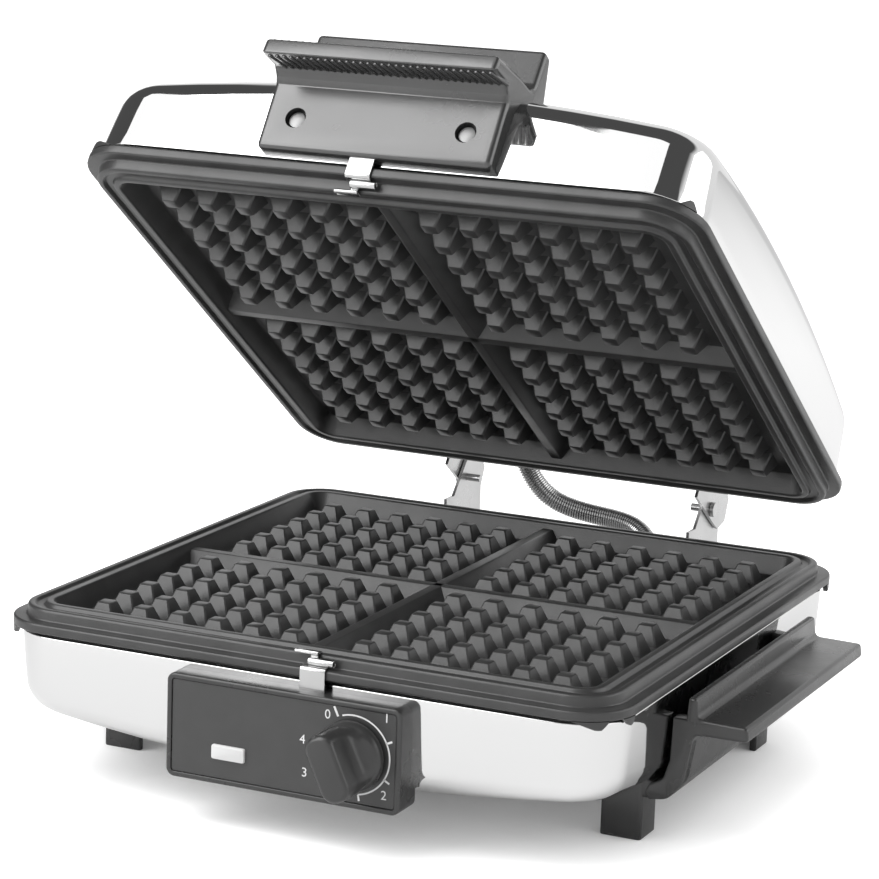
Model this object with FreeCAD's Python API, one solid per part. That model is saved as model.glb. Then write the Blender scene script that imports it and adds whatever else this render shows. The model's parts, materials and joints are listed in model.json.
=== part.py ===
"""Double waffle maker: two reversible cast grids in hinged pressed shells, built as separate pieces.

Millimetres. X runs to the right of a person facing the front, the front faces -Y, Z is up.
Everything is drawn with the lid shut, on a table at z = 0 and centred on the grids. The lid's pieces are
then swung open to the rest pose, and the whole is moved so that its box stands on the origin.
"""
import FreeCAD
import Part
import math
import os

os.makedirs("parts", exist_ok=True)

Vector = FreeCAD.Vector
X_AXIS = Vector(1, 0, 0)
Y_AXIS = Vector(0, 1, 0)
Z_AXIS = Vector(0, 0, 1)

# Driving dimensions: the waffle pattern, the grid's height above the table and the lid's swing
tooth_pitch = 14.6
teeth_per_side = 6
divider_gap_x = 12.4
divider_gap_y = 13.2
grid_level = 59.4
grid_spacing = 9.4
hinge_setback = 22.2
hinge_height = 9.6
lid_open_angle = 35.7

# Clearances shared by the fits, and the overlap that lets one cut or foot run into the next
running_clearance = 0.05
slip_clearance = 0.3
seat_clearance = 0.2
run_in = 0.5
cut_past = 1.0

# Cast grids, heights measured from the middle of the teeth
tooth_tip = 5.2
tooth_foot = 10.6
tooth_half_height = 3.4
well_margin = 7.6
well_draft = 3.3
well_corner = 7.0
inner_ridge_width = 2.7
inner_ridge_height = 4.4
gutter_width = 3.2
gutter_level = 1.8
ridge_width = 3.3
ridge_height = 4.0
flange_reach = 4.3
flange_thickness = 3.4
plate_corner = 20.0
divider_top = 4.0
divider_foot = 12.6
divider_height = 5.6
seat_step = 1.5
seat_inset = 2.0
griddle_depth = 8.0
griddle_gap = 2.0
lug_drop = 3.2
lug_width = 9.0
lug_setback = 10.3

# Pressed shells
sheet = 0.8
plate_overhang = 2.2
shell_draft = 3.0
shell_depth = 43.3
shell_dome_radius = 715.0
shell_edge_radius = 14.0
lip_width = 8.0
draft_reach = 8.7

# Reflector pans and heating elements
pan_sheet = 0.6
pan_gap = 0.4
pan_flange = 6.4
pan_front_recess = 20.6
pan_shelf_drop = 4.9
pan_floor_drop = 22.1
element_radius = 3.3
element_drop = 11.5
element_bend = 12.0
element_margin = 25.8
element_inner = 26.0
element_end = 6.0
element_tail = 6.0
element_run = 15.0
element_loop = 26.0
element_clip_width = 8.0
element_clip_depth = 6.0
element_clip_front = -40.0
element_clip_back = 50.0

# Control box on the front
box_half_width = 43.5
box_height = 36.1
box_drop = 2.4
box_wall = 2.2
box_proud = 7.2
box_setback = 8.1
box_corner = 3.0
fascia_margin = 2.0
fascia_thickness = 1.0
fascia_proud = 0.2
lens_x = -19.8
lens_rise = 11.3
lens_width = 12.4
lens_height = 5.0
lens_depth = 3.4
lens_proud = 0.4
lamp_radius = 2.3
lamp_length = 13.0
knob_x = 26.0
knob_rise = 18.3
knob_skirt_radius = 12.0
knob_skirt_height = 4.0
knob_skirt_taper = 1.0
knob_height = 18.5
knob_grip_width = 10.5
knob_grip_inset = 0.5
knob_end_flat = 0.6
knob_edge_radius = 1.6
knob_gap = 0.5
knob_pointer_angle = 25.0
knob_pointer_radius = 1.1
shaft_radius = 3.0
shaft_grip_depth = 9.0
thermostat_half_width = 15.0
thermostat_depth = 17.0
thermostat_lift = 13.1
thermostat_headroom = 4.7
thermostat_gap = 2.0
stat_bracket_sheet = 1.2
stat_bracket_ear = 8.0
stat_bracket_tab = 4.0
stat_bracket_margin = 3.0

# Side handles with their legs
handle_front = -58.0
handle_flange_back = 65.0
handle_back = 71.0
handle_reach = 27.0
handle_drop = 9.7
handle_flange_thickness = 5.2
handle_wall_gap = 6.1
handle_lip_drop = 2.7
handle_lip_start = 7.1
handle_lip_end = 10.2
handle_wall_inset = 0.8
handle_edge = 0.6
web_thickness = 6.0
web_seat = 0.8
rail_inset = 4.6
rail_level = 4.3
rail_slope = 0.8
handle_knee_reach = 4.1
handle_knee_level = 9.0
handle_wall_foot = 13.5
handle_root_level = 18.8
leg_setback = 9.9
leg_width = 13.7
leg_length = 15.0
leg_hole_radius = 2.2
leg_bore_radius = 4.6
leg_bore_depth = 6.0
leg_screw_radius = 2.0
leg_screw_head_radius = 4.0
leg_screw_head = 2.6
leg_screw_reach = 17.8

# Hinges at the back
hinge_x = 52.3
hinge_play = 0.3
hinge_pin_radius = 1.5
hinge_cheek = 1.2
hinge_plate_width = 10.6
hinge_plate_height = 15.0
hinge_plate_proud = 0.8
hinge_plate_depth = 3.2
cheek_root = 6.0
cheek_throat = 2.0
base_cheek_back = 13.0
base_cheek_drop = 16.0
base_cheek_corner = 4.0
base_cheek_rise = 7.5
base_cheek_nose = 1.3
base_cheek_front = 13.1
base_cheek_step = 5.4
lid_cheek_back = 17.5
lid_cheek_lean = 1.8
lid_cheek_rise = 11.9
lid_cheek_tail = 3.0
lid_cheek_nose = 5.5
lid_cheek_low = 3.4
lid_cheek_throat = 3.5
pin_head_radius = 2.9
pin_head_length = 1.5
pin_tail = 5.5
rivet_radius = 2.0
rivet_head_radius = 3.4
rivet_head_height = 1.0
rivet_length = 7.0
rivet_spacing = 8.0
rivet_shift = 5.9

# Lid handle: reaches from the shell's rim, its bottom and screws up from the upper grid's middle plane, its
# lip, crown and foot down from the lid's highest point, the foot's tip up from there
grip_half_width = 43.3
grip_reach = 5.9
grip_bottom = 6.2
grip_shoulder = 16.2
grip_lip_reach = 21.5
grip_lip_bottom = 15.0
grip_lip_top = 9.4
grip_crown_reach = 1.4
grip_crown = 5.3
grip_foot_front = 10.6
grip_foot_back = 22.6
grip_foot_level = 3.8
grip_foot_tip = 13.0
grip_foot_tip_back = 13.7
grip_foot_root = 18.2
grip_edge = 1.0
grip_rib_count = 34
grip_rib_radius = 0.8
grip_rib_length = 10.0
grip_screw_x = 31.5
grip_screw_z = 18.0
grip_bore_radius = 3.8
grip_bore_depth = 3.6
grip_screw_radius = 2.0
grip_screw_head_radius = 3.4
grip_screw_head = 2.0
grip_screw_length = 9.0

# Spring clips that hold the grids at the front, and the fixed hooks at the back
clip_sheet = 0.6
clip_strap_width = 9.2
clip_bar_width = 8.6
clip_gap = 0.4
clip_curl_radius = 1.5
clip_curl_shift = 1.9
clip_bar_shift = 4.2
clip_bar_overlap = 2.3
clip_neck_width = 2.7
clip_slot_side = 1.0
clip_slot_depth = 2.6
lower_clip_drop = 13.0
upper_clip_drop = 8.0
lower_clip_x = 8.6
upper_clip_x = -3.6
hook_half_width = 9.0
hook_drop = 15.0
hook_foot = 4.0
hook_sheet = 0.8

# Wiring: bushes, terminal block and the spring conduit between base and lid
bush_hole_radius = 4.4
bush_neck_radius = 6.5
bush_flange_radius = 8.2
bush_flange = 3.0
bush_reach = 4.5
gland_x = -78.0
gland_drop = 12.5
gland_hole_radius = 3.6
gland_boss_radius = 6.0
gland_boss_wall = 1.2
gland_boss_length = 13.0
conduit_base_x = 33.0
conduit_base_drop = 11.5
conduit_lid_x = -30.0
conduit_lid_rise = 14.3
conduit_radius = 4.0
conduit_wire_radius = 0.4
conduit_turns = 78
conduit_inside = 3.5
conduit_outside = 4.5
conduit_lead = 9.5
conduit_bends = [
    (-27.5, 140.5, 75.0), (-16.5, 141.5, 62.0), (2.5, 144.5, 58.5), (19.5, 144.5, 57.5), (29.5, 137.5, 51.0),
]
terminal_half_width = 20.0
terminal_half_depth = 9.0
terminal_x = -55.0
terminal_y = 62.0
terminal_gap = 0.8
terminal_hole_radius = 2.2
terminal_hole_depth = 5.0
terminal_hole_spacing = 12.0

# Sizes worked out from the driving dimensions, from the waffle wells outwards
well_half = max(divider_gap_x, divider_gap_y) / 2 + teeth_per_side * tooth_pitch + well_margin
inner_ridge_half = well_half + inner_ridge_width
gutter_half = inner_ridge_half + gutter_width
ridge_half = gutter_half + ridge_width
plate_half = ridge_half + flange_reach
shell_half = plate_half - plate_overhang
shell_corner = plate_corner
lip_opening = shell_half - lip_width
lip_corner = shell_corner - lip_width
griddle_half = lip_opening - griddle_gap
pan_half = lip_opening - pan_gap
pan_front = -pan_half + pan_front_recess
hinge_y = plate_half + hinge_setback

# Levels, from the table upwards
mating_level = grid_level + grid_spacing / 2
upper_grid_level = grid_level + grid_spacing
hinge_z = grid_level + hinge_height
rim_level = grid_level - flange_thickness - seat_step
lid_rim_level = 2 * mating_level - rim_level
shell_bottom = rim_level - shell_depth
lid_crown = lid_rim_level + shell_depth
pan_shelf = rim_level - pan_shelf_drop - pan_sheet
pan_floor = rim_level - pan_floor_drop
element_level = rim_level - element_drop
box_top = rim_level - box_drop
box_bottom = box_top - box_height
lens_z = box_bottom + lens_rise
knob_z = box_bottom + knob_rise
thermostat_low = shell_bottom + thermostat_lift
thermostat_top = pan_shelf - thermostat_headroom
handle_top = rim_level - handle_drop
gland_z = rim_level - gland_drop
conduit_base_z = rim_level - conduit_base_drop
conduit_lid_z = lid_rim_level + conduit_lid_rise

# Depths, from the front backwards
box_front = -(shell_half + box_proud)
knob_back = box_front - fascia_proud - knob_gap
thermostat_front = pan_front - thermostat_gap - thermostat_depth
leg_outer = shell_half - leg_setback
leg_inner = leg_outer - leg_width
handle_outer = shell_half + handle_reach


def rounded_wire(x0, x1, y0, y1, radius, z):
    """Closed rounded rectangle at height z."""
    bend = radius * (1 - math.sqrt(0.5))
    corners = [
        (Vector(x1 - radius, y0, z), Vector(x1 - bend, y0 + bend, z), Vector(x1, y0 + radius, z)),
        (Vector(x1, y1 - radius, z), Vector(x1 - bend, y1 - bend, z), Vector(x1 - radius, y1, z)),
        (Vector(x0 + radius, y1, z), Vector(x0 + bend, y1 - bend, z), Vector(x0, y1 - radius, z)),
        (Vector(x0, y0 + radius, z), Vector(x0 + bend, y0 + bend, z), Vector(x0 + radius, y0, z)),
    ]
    edges = []
    for index, (start, middle, end) in enumerate(corners):
        edges.append(Part.Arc(start, middle, end).toShape())
        following = corners[(index + 1) % len(corners)][0]
        edges.append(Part.LineSegment(end, following).toShape())
    return Part.Wire(edges)


def square_wire(half, radius, z):
    return rounded_wire(-half, half, -half, half, radius, z)


def square_prism(half, radius, z0, z1):
    """Rounded square block between two heights."""
    return Part.Face(square_wire(half, radius, z0)).extrude(Vector(0, 0, z1 - z0))


def block(x0, x1, y0, y1, z0, z1):
    return Part.makeBox(x1 - x0, y1 - y0, z1 - z0, Vector(x0, y0, z0))


def side_prism(points, x0, x1):
    """Outline in the y-z plane, drawn out along X."""
    corners = [Vector(x0, y, z) for y, z in points]
    return Part.Face(Part.makePolygon(corners + corners[:1])).extrude(Vector(x1 - x0, 0, 0))


def front_prism(points, y0, y1):
    """Outline in the x-z plane, drawn out along Y."""
    corners = [Vector(x, y0, z) for x, z in points]
    return Part.Face(Part.makePolygon(corners + corners[:1])).extrude(Vector(0, y1 - y0, 0))


def rod(radius, start, end):
    """Round bar between two points."""
    axis = end - start
    return Part.makeCylinder(radius, axis.Length, start, axis)


def rod_along_x(radius, x0, x1, y, z):
    return rod(radius, Vector(x0, y, z), Vector(x1, y, z))


def rod_along_y(radius, x, y0, y1, z):
    return rod(radius, Vector(x, y0, z), Vector(x, y1, z))


def rod_along_z(radius, x, y, z0, z1):
    return rod(radius, Vector(x, y, z0), Vector(x, y, z1))


def fused(first, others):
    return first.fuse(list(others)).removeSplitter()


def mirrored(shape):
    """Copy on the other side of the x = 0 plane."""
    return shape.mirror(Vector(0, 0, 0), X_AXIS)


def turned_over(shape):
    """Copy of a base piece laid upside down on the mating plane, as the shut lid has it."""
    copy = shape.copy()
    copy.rotate(Vector(0, 0, mating_level), Y_AXIS, 180)
    return copy


def edges_along_y(shape):
    return [edge for edge in shape.Edges if abs(edge.tangentAt(edge.FirstParameter).y) > 0.9]


def wall_face(level):
    """How far out the base shell's drafted wall stands at a height below its rim."""
    return shell_half - (rim_level - level) * math.tan(math.radians(shell_draft))


def pressing_body(inset):
    """Solid inside of the pressed bowl, drawn in by inset: drafted sides, domed floor, round edge."""
    depth = shell_depth + draft_reach
    narrowing = depth * math.tan(math.radians(shell_draft))
    half = shell_half - inset
    corner = shell_corner - inset
    top = square_wire(half, corner, rim_level)
    low = square_wire(half - narrowing, corner - narrowing, rim_level - depth)
    sides = Part.makeLoft([low, top], True, True)
    dome = Part.makeSphere(shell_dome_radius - inset, Vector(0, 0, shell_bottom + shell_dome_radius))
    bowl = sides.common(dome)
    round_faces = [face for face in bowl.Faces if isinstance(face.Surface, Part.Sphere)]
    floor = max(round_faces, key=lambda face: face.Area)
    return bowl.makeFillet(shell_edge_radius - inset, floor.Edges)


def make_shell(outer):
    """Sheet bowl with a lip turned in round its mouth."""
    cavity = pressing_body(sheet)
    cavity.translate(Vector(0, 0, -sheet))
    cavity = cavity.common(pressing_body(sheet))
    mouth = square_prism(lip_opening, lip_corner, rim_level - 2 * sheet, rim_level + cut_past)
    return outer.cut(cavity).cut(mouth)


def make_grid():
    """Reversible cast plate, waffle side up, flat griddle side down, at the lower grid's place."""
    ridge_corner = plate_corner - flange_reach
    inner_corner = well_corner + inner_ridge_width
    flange = square_prism(plate_half, plate_corner, -flange_thickness, 0)
    ridge = square_prism(ridge_half, ridge_corner, -flange_thickness, ridge_height)
    seat = square_prism(ridge_half - seat_inset, ridge_corner - seat_inset, -flange_thickness - seat_step, 0)
    griddle = square_prism(griddle_half, lip_corner - griddle_gap, -griddle_depth, 0)
    plate = fused(flange, [ridge, seat, griddle])
    gutter = square_prism(gutter_half, inner_corner + gutter_width, gutter_level, ridge_height + cut_past)
    inner = square_prism(inner_ridge_half, inner_corner, 0, inner_ridge_height)
    plate = plate.cut(gutter).fuse(inner)
    well_floor = square_wire(well_half - well_draft, well_corner - well_draft, -tooth_half_height)
    well_mouth = square_wire(well_half, well_corner, inner_ridge_height)
    plate = plate.cut(Part.makeLoft([well_floor, well_mouth], True, True))
    plate = fused(plate, [make_divider(False), make_divider(True)])
    plate = plate.fuse(make_teeth()).fuse(make_lugs())
    plate.translate(Vector(0, 0, grid_level))
    return plate


def make_divider(across):
    """Ridge between the waffles, along X or along Y."""
    root = -tooth_half_height - run_in
    top = divider_height - tooth_half_height
    foot_half = divider_foot / 2
    top_half = divider_top / 2
    outline = [(-foot_half, root), (foot_half, root), (top_half, top), (-top_half, top)]
    reach = well_half - run_in
    if across:
        return side_prism(outline, -reach, reach)
    return front_prism(outline, -reach, reach)


def tooth_places(gap):
    """Distances of the tooth rows from the middle, on both sides of the divider."""
    rows = [gap / 2 + (index + 0.5) * tooth_pitch for index in range(teeth_per_side)]
    return [-row for row in rows] + rows


def tooth_ring(x, y, z, half):
    """Square outline of a tooth at one height."""
    ring = [
        Vector(x - half, y - half, z), Vector(x + half, y - half, z),
        Vector(x + half, y + half, z), Vector(x - half, y + half, z),
    ]
    return Part.makePolygon(ring + ring[:1])


def make_teeth():
    """Tapered square teeth, with their feet let into the plate."""
    spread = (tooth_foot - tooth_tip) / (4 * tooth_half_height)
    root_half = tooth_foot / 2 + run_in * spread
    teeth = []
    for x in tooth_places(divider_gap_x):
        for y in tooth_places(divider_gap_y):
            root = tooth_ring(x, y, -tooth_half_height - run_in, root_half)
            tip = tooth_ring(x, y, tooth_half_height, tooth_tip / 2)
            teeth.append(Part.makeLoft([root, tip], True, True))
    return teeth


def make_lugs():
    """Two small lugs under the flange at each corner, outside the shell's rim."""
    top = -flange_thickness
    low = top - lug_drop
    room = shell_half + slip_clearance
    hang = square_prism(plate_half, plate_corner, low, top)
    hang = hang.cut(square_prism(room, shell_corner + slip_clearance, low - cut_past, top + cut_past))
    near = plate_half - lug_setback - lug_width / 2
    far = near + lug_width
    lugs = []
    for i in (-1, 1):
        for j in (-1, 1):
            span_x = sorted((i * near, i * far))
            span_y = sorted((j * near, j * far))
            past_x = sorted((i * far, i * (plate_half + cut_past)))
            past_y = sorted((j * far, j * (plate_half + cut_past)))
            lugs.append(hang.common(block(*span_x, *past_y, low, top)))
            lugs.append(hang.common(block(*past_x, *span_y, low, top)))
    return lugs


def bent_tube(points, bend, radius):
    """Round tube through the points with equal bends at the corners between them."""
    edges = []
    last = points[0]
    for before, corner, after in zip(points, points[1:], points[2:]):
        inward = (before - corner).normalize()
        outward = (after - corner).normalize()
        setback = bend / math.tan(inward.getAngle(outward) / 2)
        start = corner + inward * setback
        end = corner + outward * setback
        middle_line = (inward + outward).normalize()
        reach = bend / math.sin(inward.getAngle(outward) / 2) - bend
        edges.append(Part.LineSegment(last, start).toShape())
        edges.append(Part.Arc(start, corner + middle_line * reach, end).toShape())
        last = end
    edges.append(Part.LineSegment(last, points[-1]).toShape())
    sweep = Part.BRepOffsetAPI.MakePipeShell(Part.Wire(edges))
    sweep.add(Part.Wire(Part.makeCircle(radius, points[0], points[1] - points[0])))
    sweep.build()
    sweep.makeSolid()
    return sweep.shape()


def make_element():
    """Sheathed heating rod, folded into two loops over the pan, with its ends at the front."""
    front = pan_front + element_run
    reach = well_half - element_margin
    plan = [
        (element_end, pan_front - element_tail), (element_end, front), (reach, front),
        (reach, reach), (element_inner, reach), (element_inner, front + element_loop),
    ]
    right = [Vector(x, y, element_level) for x, y in plan]
    left = [Vector(-x, y, element_level) for x, y in reversed(plan)]
    return bent_tube(right + left, element_bend, element_radius)


def make_element_clips(element):
    """Four saddles that hold the rod up from the pan's floor."""
    half_width = element_clip_width / 2
    half_depth = element_clip_depth / 2
    reach = well_half - element_margin
    saddles = []
    for x in (-reach, reach):
        for y in (element_clip_front, element_clip_back):
            saddle = block(
                x - half_width, x + half_width, y - half_depth, y + half_depth,
                pan_floor, element_level + element_radius / 2,
            )
            saddles.append(saddle.cut(element))
    return Part.makeCompound(saddles)


def pan_body(inset):
    """Filled shape of the reflector pan: a shallow full tray and a deep part behind the controls."""
    half = pan_half - inset
    corner = lip_corner - inset
    shelf = pan_shelf + inset
    floor = pan_floor - pan_sheet + inset
    tray = square_prism(half, corner, shelf, rim_level - sheet)
    outline = Part.Face(rounded_wire(-half, half, pan_front + inset, half, corner, floor))
    deep = outline.extrude(Vector(0, 0, shelf + pan_sheet - floor))
    return fused(tray, [deep])


def make_pan():
    """Reflector pan hung by its flange under the shell's lip."""
    flange_top = rim_level - sheet
    flange = square_prism(pan_half + pan_flange, lip_corner + pan_flange, flange_top - pan_sheet, flange_top)
    pan = fused(pan_body(0), [flange]).cut(pan_body(pan_sheet))
    for x in (-element_end, element_end):
        hole_radius = element_radius + slip_clearance
        hole = rod_along_y(hole_radius, x, pan_front - cut_past, pan_front + 2 * cut_past, element_level)
        pan = pan.cut(hole)
    return pan


def make_control_box(shell_body):
    """Moulded box on the front, its back edge cut to the shell's curve."""
    half = box_half_width
    outline = [(-half, box_bottom), (half, box_bottom), (half, box_top), (-half, box_top)]
    box = front_prism(outline, box_front, -shell_half + box_setback)
    box = box.makeFillet(box_corner, edges_along_y(box))
    room_half = half - box_wall
    room = block(-room_half, room_half, box_front + box_wall, 0, box_bottom + box_wall, box_top - box_wall)
    box = box.cut(room).cut(shell_body)
    inset = fascia_margin - seat_clearance
    recess_back = box_front + fascia_thickness - fascia_proud
    recess = block(
        -half + inset, half - inset, box_front - cut_past, recess_back, box_bottom + inset, box_top - inset,
    )
    slot_half = clip_strap_width / 2 + clip_slot_side
    strap_slot = block(
        lower_clip_x - slot_half, lower_clip_x + slot_half,
        -plate_half - clip_gap - clip_sheet - clip_slot_depth, 0, box_top - 2 * box_wall, box_top + cut_past,
    )
    box = box.cut(recess).cut(strap_slot)
    return box.cut(shaft_hole(slip_clearance)).cut(lens_hole(seat_clearance))


def shaft_hole(gap):
    return rod_along_y(shaft_radius + gap, knob_x, knob_back - knob_height, thermostat_front, knob_z)


def lens_hole(gap):
    half_width = lens_width / 2 + gap
    half_height = lens_height / 2 + gap
    front = box_front - fascia_proud - lens_proud
    return block(
        lens_x - half_width, lens_x + half_width, front - cut_past, box_front + box_wall + cut_past,
        lens_z - half_height, lens_z + half_height,
    )


def make_fascia():
    """Flat front plate, let into the box."""
    half = box_half_width - fascia_margin
    front = box_front - fascia_proud
    plate = block(
        -half, half, front, front + fascia_thickness, box_bottom + fascia_margin, box_top - fascia_margin,
    )
    return plate.cut(shaft_hole(slip_clearance)).cut(lens_hole(seat_clearance))


def make_lens():
    """Block of clear plastic through the plate and the box's front wall."""
    front = box_front - fascia_proud - lens_proud
    return block(
        lens_x - lens_width / 2, lens_x + lens_width / 2, front, front + lens_depth,
        lens_z - lens_height / 2, lens_z + lens_height / 2,
    )


def make_lamp():
    """Small neon tube lying behind the lens."""
    y = box_front - fascia_proud - lens_proud + lens_depth + lamp_radius
    return rod_along_x(lamp_radius, lens_x - lamp_length / 2, lens_x + lamp_length / 2, y, lens_z)


def make_thermostat():
    """Switch body behind the shell's front wall, in front of the pan's deep part."""
    return block(
        knob_x - thermostat_half_width, knob_x + thermostat_half_width,
        thermostat_front, thermostat_front + thermostat_depth, thermostat_low, thermostat_top,
    )


def make_thermostat_bracket(shell_cavity):
    """Strap from the switch's face to the inside of the shell's front wall."""
    half = thermostat_half_width + stat_bracket_ear
    plate = block(
        knob_x - half, knob_x + half, thermostat_front - stat_bracket_sheet, thermostat_front,
        knob_z - shaft_radius - stat_bracket_margin, thermostat_top,
    )
    tab_low = (thermostat_low + thermostat_top) / 2
    tabs = []
    for edge in (knob_x - half, knob_x + half - stat_bracket_tab):
        span = (edge, edge + stat_bracket_tab)
        tabs.append(block(*span, -shell_half, thermostat_front, tab_low, thermostat_top))
    return fused(plate, tabs).common(shell_cavity).cut(shaft_hole(running_clearance))


def make_shaft():
    """Round switch shaft that carries the knob."""
    front = knob_back - shaft_grip_depth
    return rod_along_y(shaft_radius, knob_x, front, thermostat_front - slip_clearance, knob_z)


def make_knob():
    """Round skirt with a bar grip that points up and to the left, at zero."""
    centre = Vector(knob_x, knob_back, knob_z)
    skirt_tip = knob_skirt_radius - knob_skirt_taper
    skirt = Part.makeCone(knob_skirt_radius, skirt_tip, knob_skirt_height, centre, -Y_AXIS)
    half = knob_grip_width / 2
    reach = knob_skirt_radius - knob_grip_inset
    front = knob_back - knob_height
    grip_back = knob_back - knob_skirt_height / 2
    grip = block(-half, half, front, grip_back, -reach, reach)
    grip = grip.makeFillet(half - knob_end_flat, edges_along_y(grip))
    tip = [edge for edge in grip.Edges if edge.BoundBox.YMax < front + running_clearance]
    grip = grip.makeFillet(knob_edge_radius, tip)
    pointer = rod_along_y(knob_pointer_radius, 0, front + cut_past, grip_back, reach - run_in)
    grip = fused(grip, [pointer])
    grip.translate(Vector(knob_x, 0, knob_z))
    grip.rotate(centre, -Y_AXIS, knob_pointer_angle)
    knob = fused(skirt, [grip])
    bore_end = knob_back - shaft_grip_depth
    return knob.cut(rod_along_y(shaft_radius, knob_x, bore_end, knob_back + cut_past, knob_z))


def leg_places():
    """Front and back edges of a side's two legs."""
    return [(handle_front, handle_front + leg_length), (handle_back - leg_length, handle_back)]


def make_side_handle(shell_body):
    """Right-hand handle and its two legs, one moulding cut to fit the shell."""
    flange_low = handle_top - handle_flange_thickness
    wall_inner = shell_half + handle_wall_gap
    wall_outer = shell_half + handle_lip_end - handle_wall_inset
    lip_inner = shell_half + handle_lip_start
    lip_outer = shell_half + handle_lip_end
    lip_top = rim_level - handle_lip_drop
    rail_outer = shell_half - rail_inset
    rail_low = shell_bottom + rail_level
    knee = (shell_half + handle_knee_reach, shell_bottom + handle_knee_level)
    root = shell_bottom + handle_root_level
    under = [(leg_outer, rail_low - rail_slope), (rail_outer, rail_low), knee]
    rim = [(handle_outer, flange_low), (handle_outer - handle_edge, handle_top)]
    wall = under + [(wall_outer, shell_bottom + handle_wall_foot), (wall_outer, flange_low)] + rim + [
        (lip_outer + handle_lip_start / 2, handle_top + 2 * handle_edge),
        (lip_outer, lip_top), (lip_inner, lip_top), (wall_inner, handle_top),
        (wall_inner, shell_bottom + handle_wall_foot + handle_lip_drop),
        (knee[0] - web_seat, knee[1] + handle_lip_end - handle_wall_gap),
        (leg_outer, handle_top - handle_knee_reach),
    ]
    body = front_prism(wall, handle_front, handle_flange_back)
    web = under + rim + [(leg_inner, handle_top), (leg_inner, rail_low - rail_slope)]
    webs = [
        front_prism(web, handle_front, handle_front + web_thickness),
        front_prism(web, handle_flange_back - web_thickness, handle_flange_back),
    ]
    rail = block(leg_inner, rail_outer, handle_front, handle_back, rail_low, root)
    legs = [block(leg_inner, leg_outer, y0, y1, 0, root) for y0, y1 in leg_places()]
    handle = fused(body, webs + [rail] + legs).cut(shell_body)
    for x, y in leg_screw_places():
        handle = handle.cut(rod_along_z(leg_hole_radius, x, y, -cut_past, rim_level))
        handle = handle.cut(rod_along_z(leg_bore_radius, x, y, -cut_past, leg_bore_depth))
    return handle


def leg_screw_places():
    x = (leg_inner + leg_outer) / 2
    return [(x, (y0 + y1) / 2) for y0, y1 in leg_places()]


def make_leg_screws():
    """One screw up through each leg into the shell."""
    top = shell_bottom + leg_screw_reach
    low = leg_bore_depth - leg_screw_head
    screws = []
    for side in (-1, 1):
        for x, y in leg_screw_places():
            head = rod_along_z(leg_screw_head_radius, side * x, y, low, leg_bore_depth)
            shank = rod_along_z(leg_screw_radius, side * x, y, leg_bore_depth, top)
            screws.append(fused(head, [shank]))
    return Part.makeCompound(screws)


def hinge_span(side, outward, width):
    """X range of a strip that starts beside a hinge's middle plane and reaches outwards or inwards."""
    start = side * (hinge_x + outward * hinge_play / 2)
    return sorted((start, start + side * outward * width))


def angle_bracket(side, outward, outline, low, top):
    """Sheet bent to an angle: a plate against the shell and an upright cheek at the hinge's middle."""
    plate_span = hinge_span(side, outward, hinge_plate_width)
    plate = block(*plate_span, shell_half - hinge_plate_depth, shell_half + hinge_plate_proud, low, top)
    cheek = side_prism(outline, *hinge_span(side, outward, hinge_cheek))
    return fused(plate, [cheek])


def make_base_hinge_bracket(side, shell_body):
    """Bracket on the back of the base, its cheek on the inner side of the hinge."""
    wall = shell_half - hinge_plate_depth
    top = rim_level - cheek_throat
    low = top - hinge_plate_height
    back = hinge_y + base_cheek_back
    step = hinge_z - base_cheek_step
    crest = hinge_z + base_cheek_rise
    outline = [
        (wall, low), (shell_half + cheek_root, low), (back, hinge_z - base_cheek_drop),
        (back, crest - base_cheek_corner), (back - base_cheek_corner, crest), (hinge_y - base_cheek_nose, crest),
        (hinge_y - base_cheek_front, step), (plate_half + cheek_throat, step),
        (plate_half + cheek_throat, top), (wall, top),
    ]
    bracket = angle_bracket(side, -1, outline, low, top).cut(shell_body)
    return bracket.cut(pin_shank(side, hinge_pin_radius))


def make_lid_hinge_bracket(side, lid_body):
    """Bracket on the back of the lid, its cheek on the outer side of the hinge, where it turns on the pin."""
    wall = shell_half - hinge_plate_depth
    low = lid_rim_level + cheek_throat
    top = low + hinge_plate_height
    back = hinge_y + lid_cheek_back
    edge = hinge_z - lid_cheek_low
    outline = [
        (wall, top), (shell_half + cheek_root, top), (back - lid_cheek_lean, hinge_z + lid_cheek_rise),
        (back, hinge_z + lid_cheek_tail), (back - lid_cheek_nose, hinge_z - lid_cheek_tail),
        (hinge_y + lid_cheek_nose, edge), (plate_half + lid_cheek_throat, edge),
        (plate_half + lid_cheek_throat, low), (wall, low),
    ]
    bracket = angle_bracket(side, 1, outline, low, top).cut(lid_body)
    return bracket.cut(pin_shank(side, hinge_pin_radius + running_clearance))


def pin_shank(side, radius):
    """Round bar from the pin's tail, inside the base's cheek, to its head, outside the lid's."""
    tail = side * (hinge_x - hinge_play / 2 - hinge_cheek - pin_tail)
    neck = side * (hinge_x + hinge_play + hinge_cheek)
    return rod_along_x(radius, tail, neck, hinge_y, hinge_z)


def make_hinge_pin(side):
    """Headed pin, fast in the base's cheek, that the lid's cheek turns on."""
    neck = side * (hinge_x + hinge_play + hinge_cheek)
    head = rod_along_x(pin_head_radius, neck, neck + side * pin_head_length, hinge_y, hinge_z)
    return fused(pin_shank(side, hinge_pin_radius), [head])


def make_hinge_rivets(outward):
    """Two rivets through each hinge plate and the shell's back wall, for the base or for the lid."""
    level = rim_level - cheek_throat - hinge_plate_height / 2
    face = shell_half + hinge_plate_proud
    middle = hinge_x + outward * rivet_shift
    rivets = []
    for x in (-middle, middle):
        for z in (level - rivet_spacing / 2, level + rivet_spacing / 2):
            shank = rod_along_y(rivet_radius, x, face - rivet_length, face, z)
            head = rod_along_y(rivet_head_radius, x, face, face + rivet_head_height, z)
            rivets.append(fused(shank, [head]))
    return rivets


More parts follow.
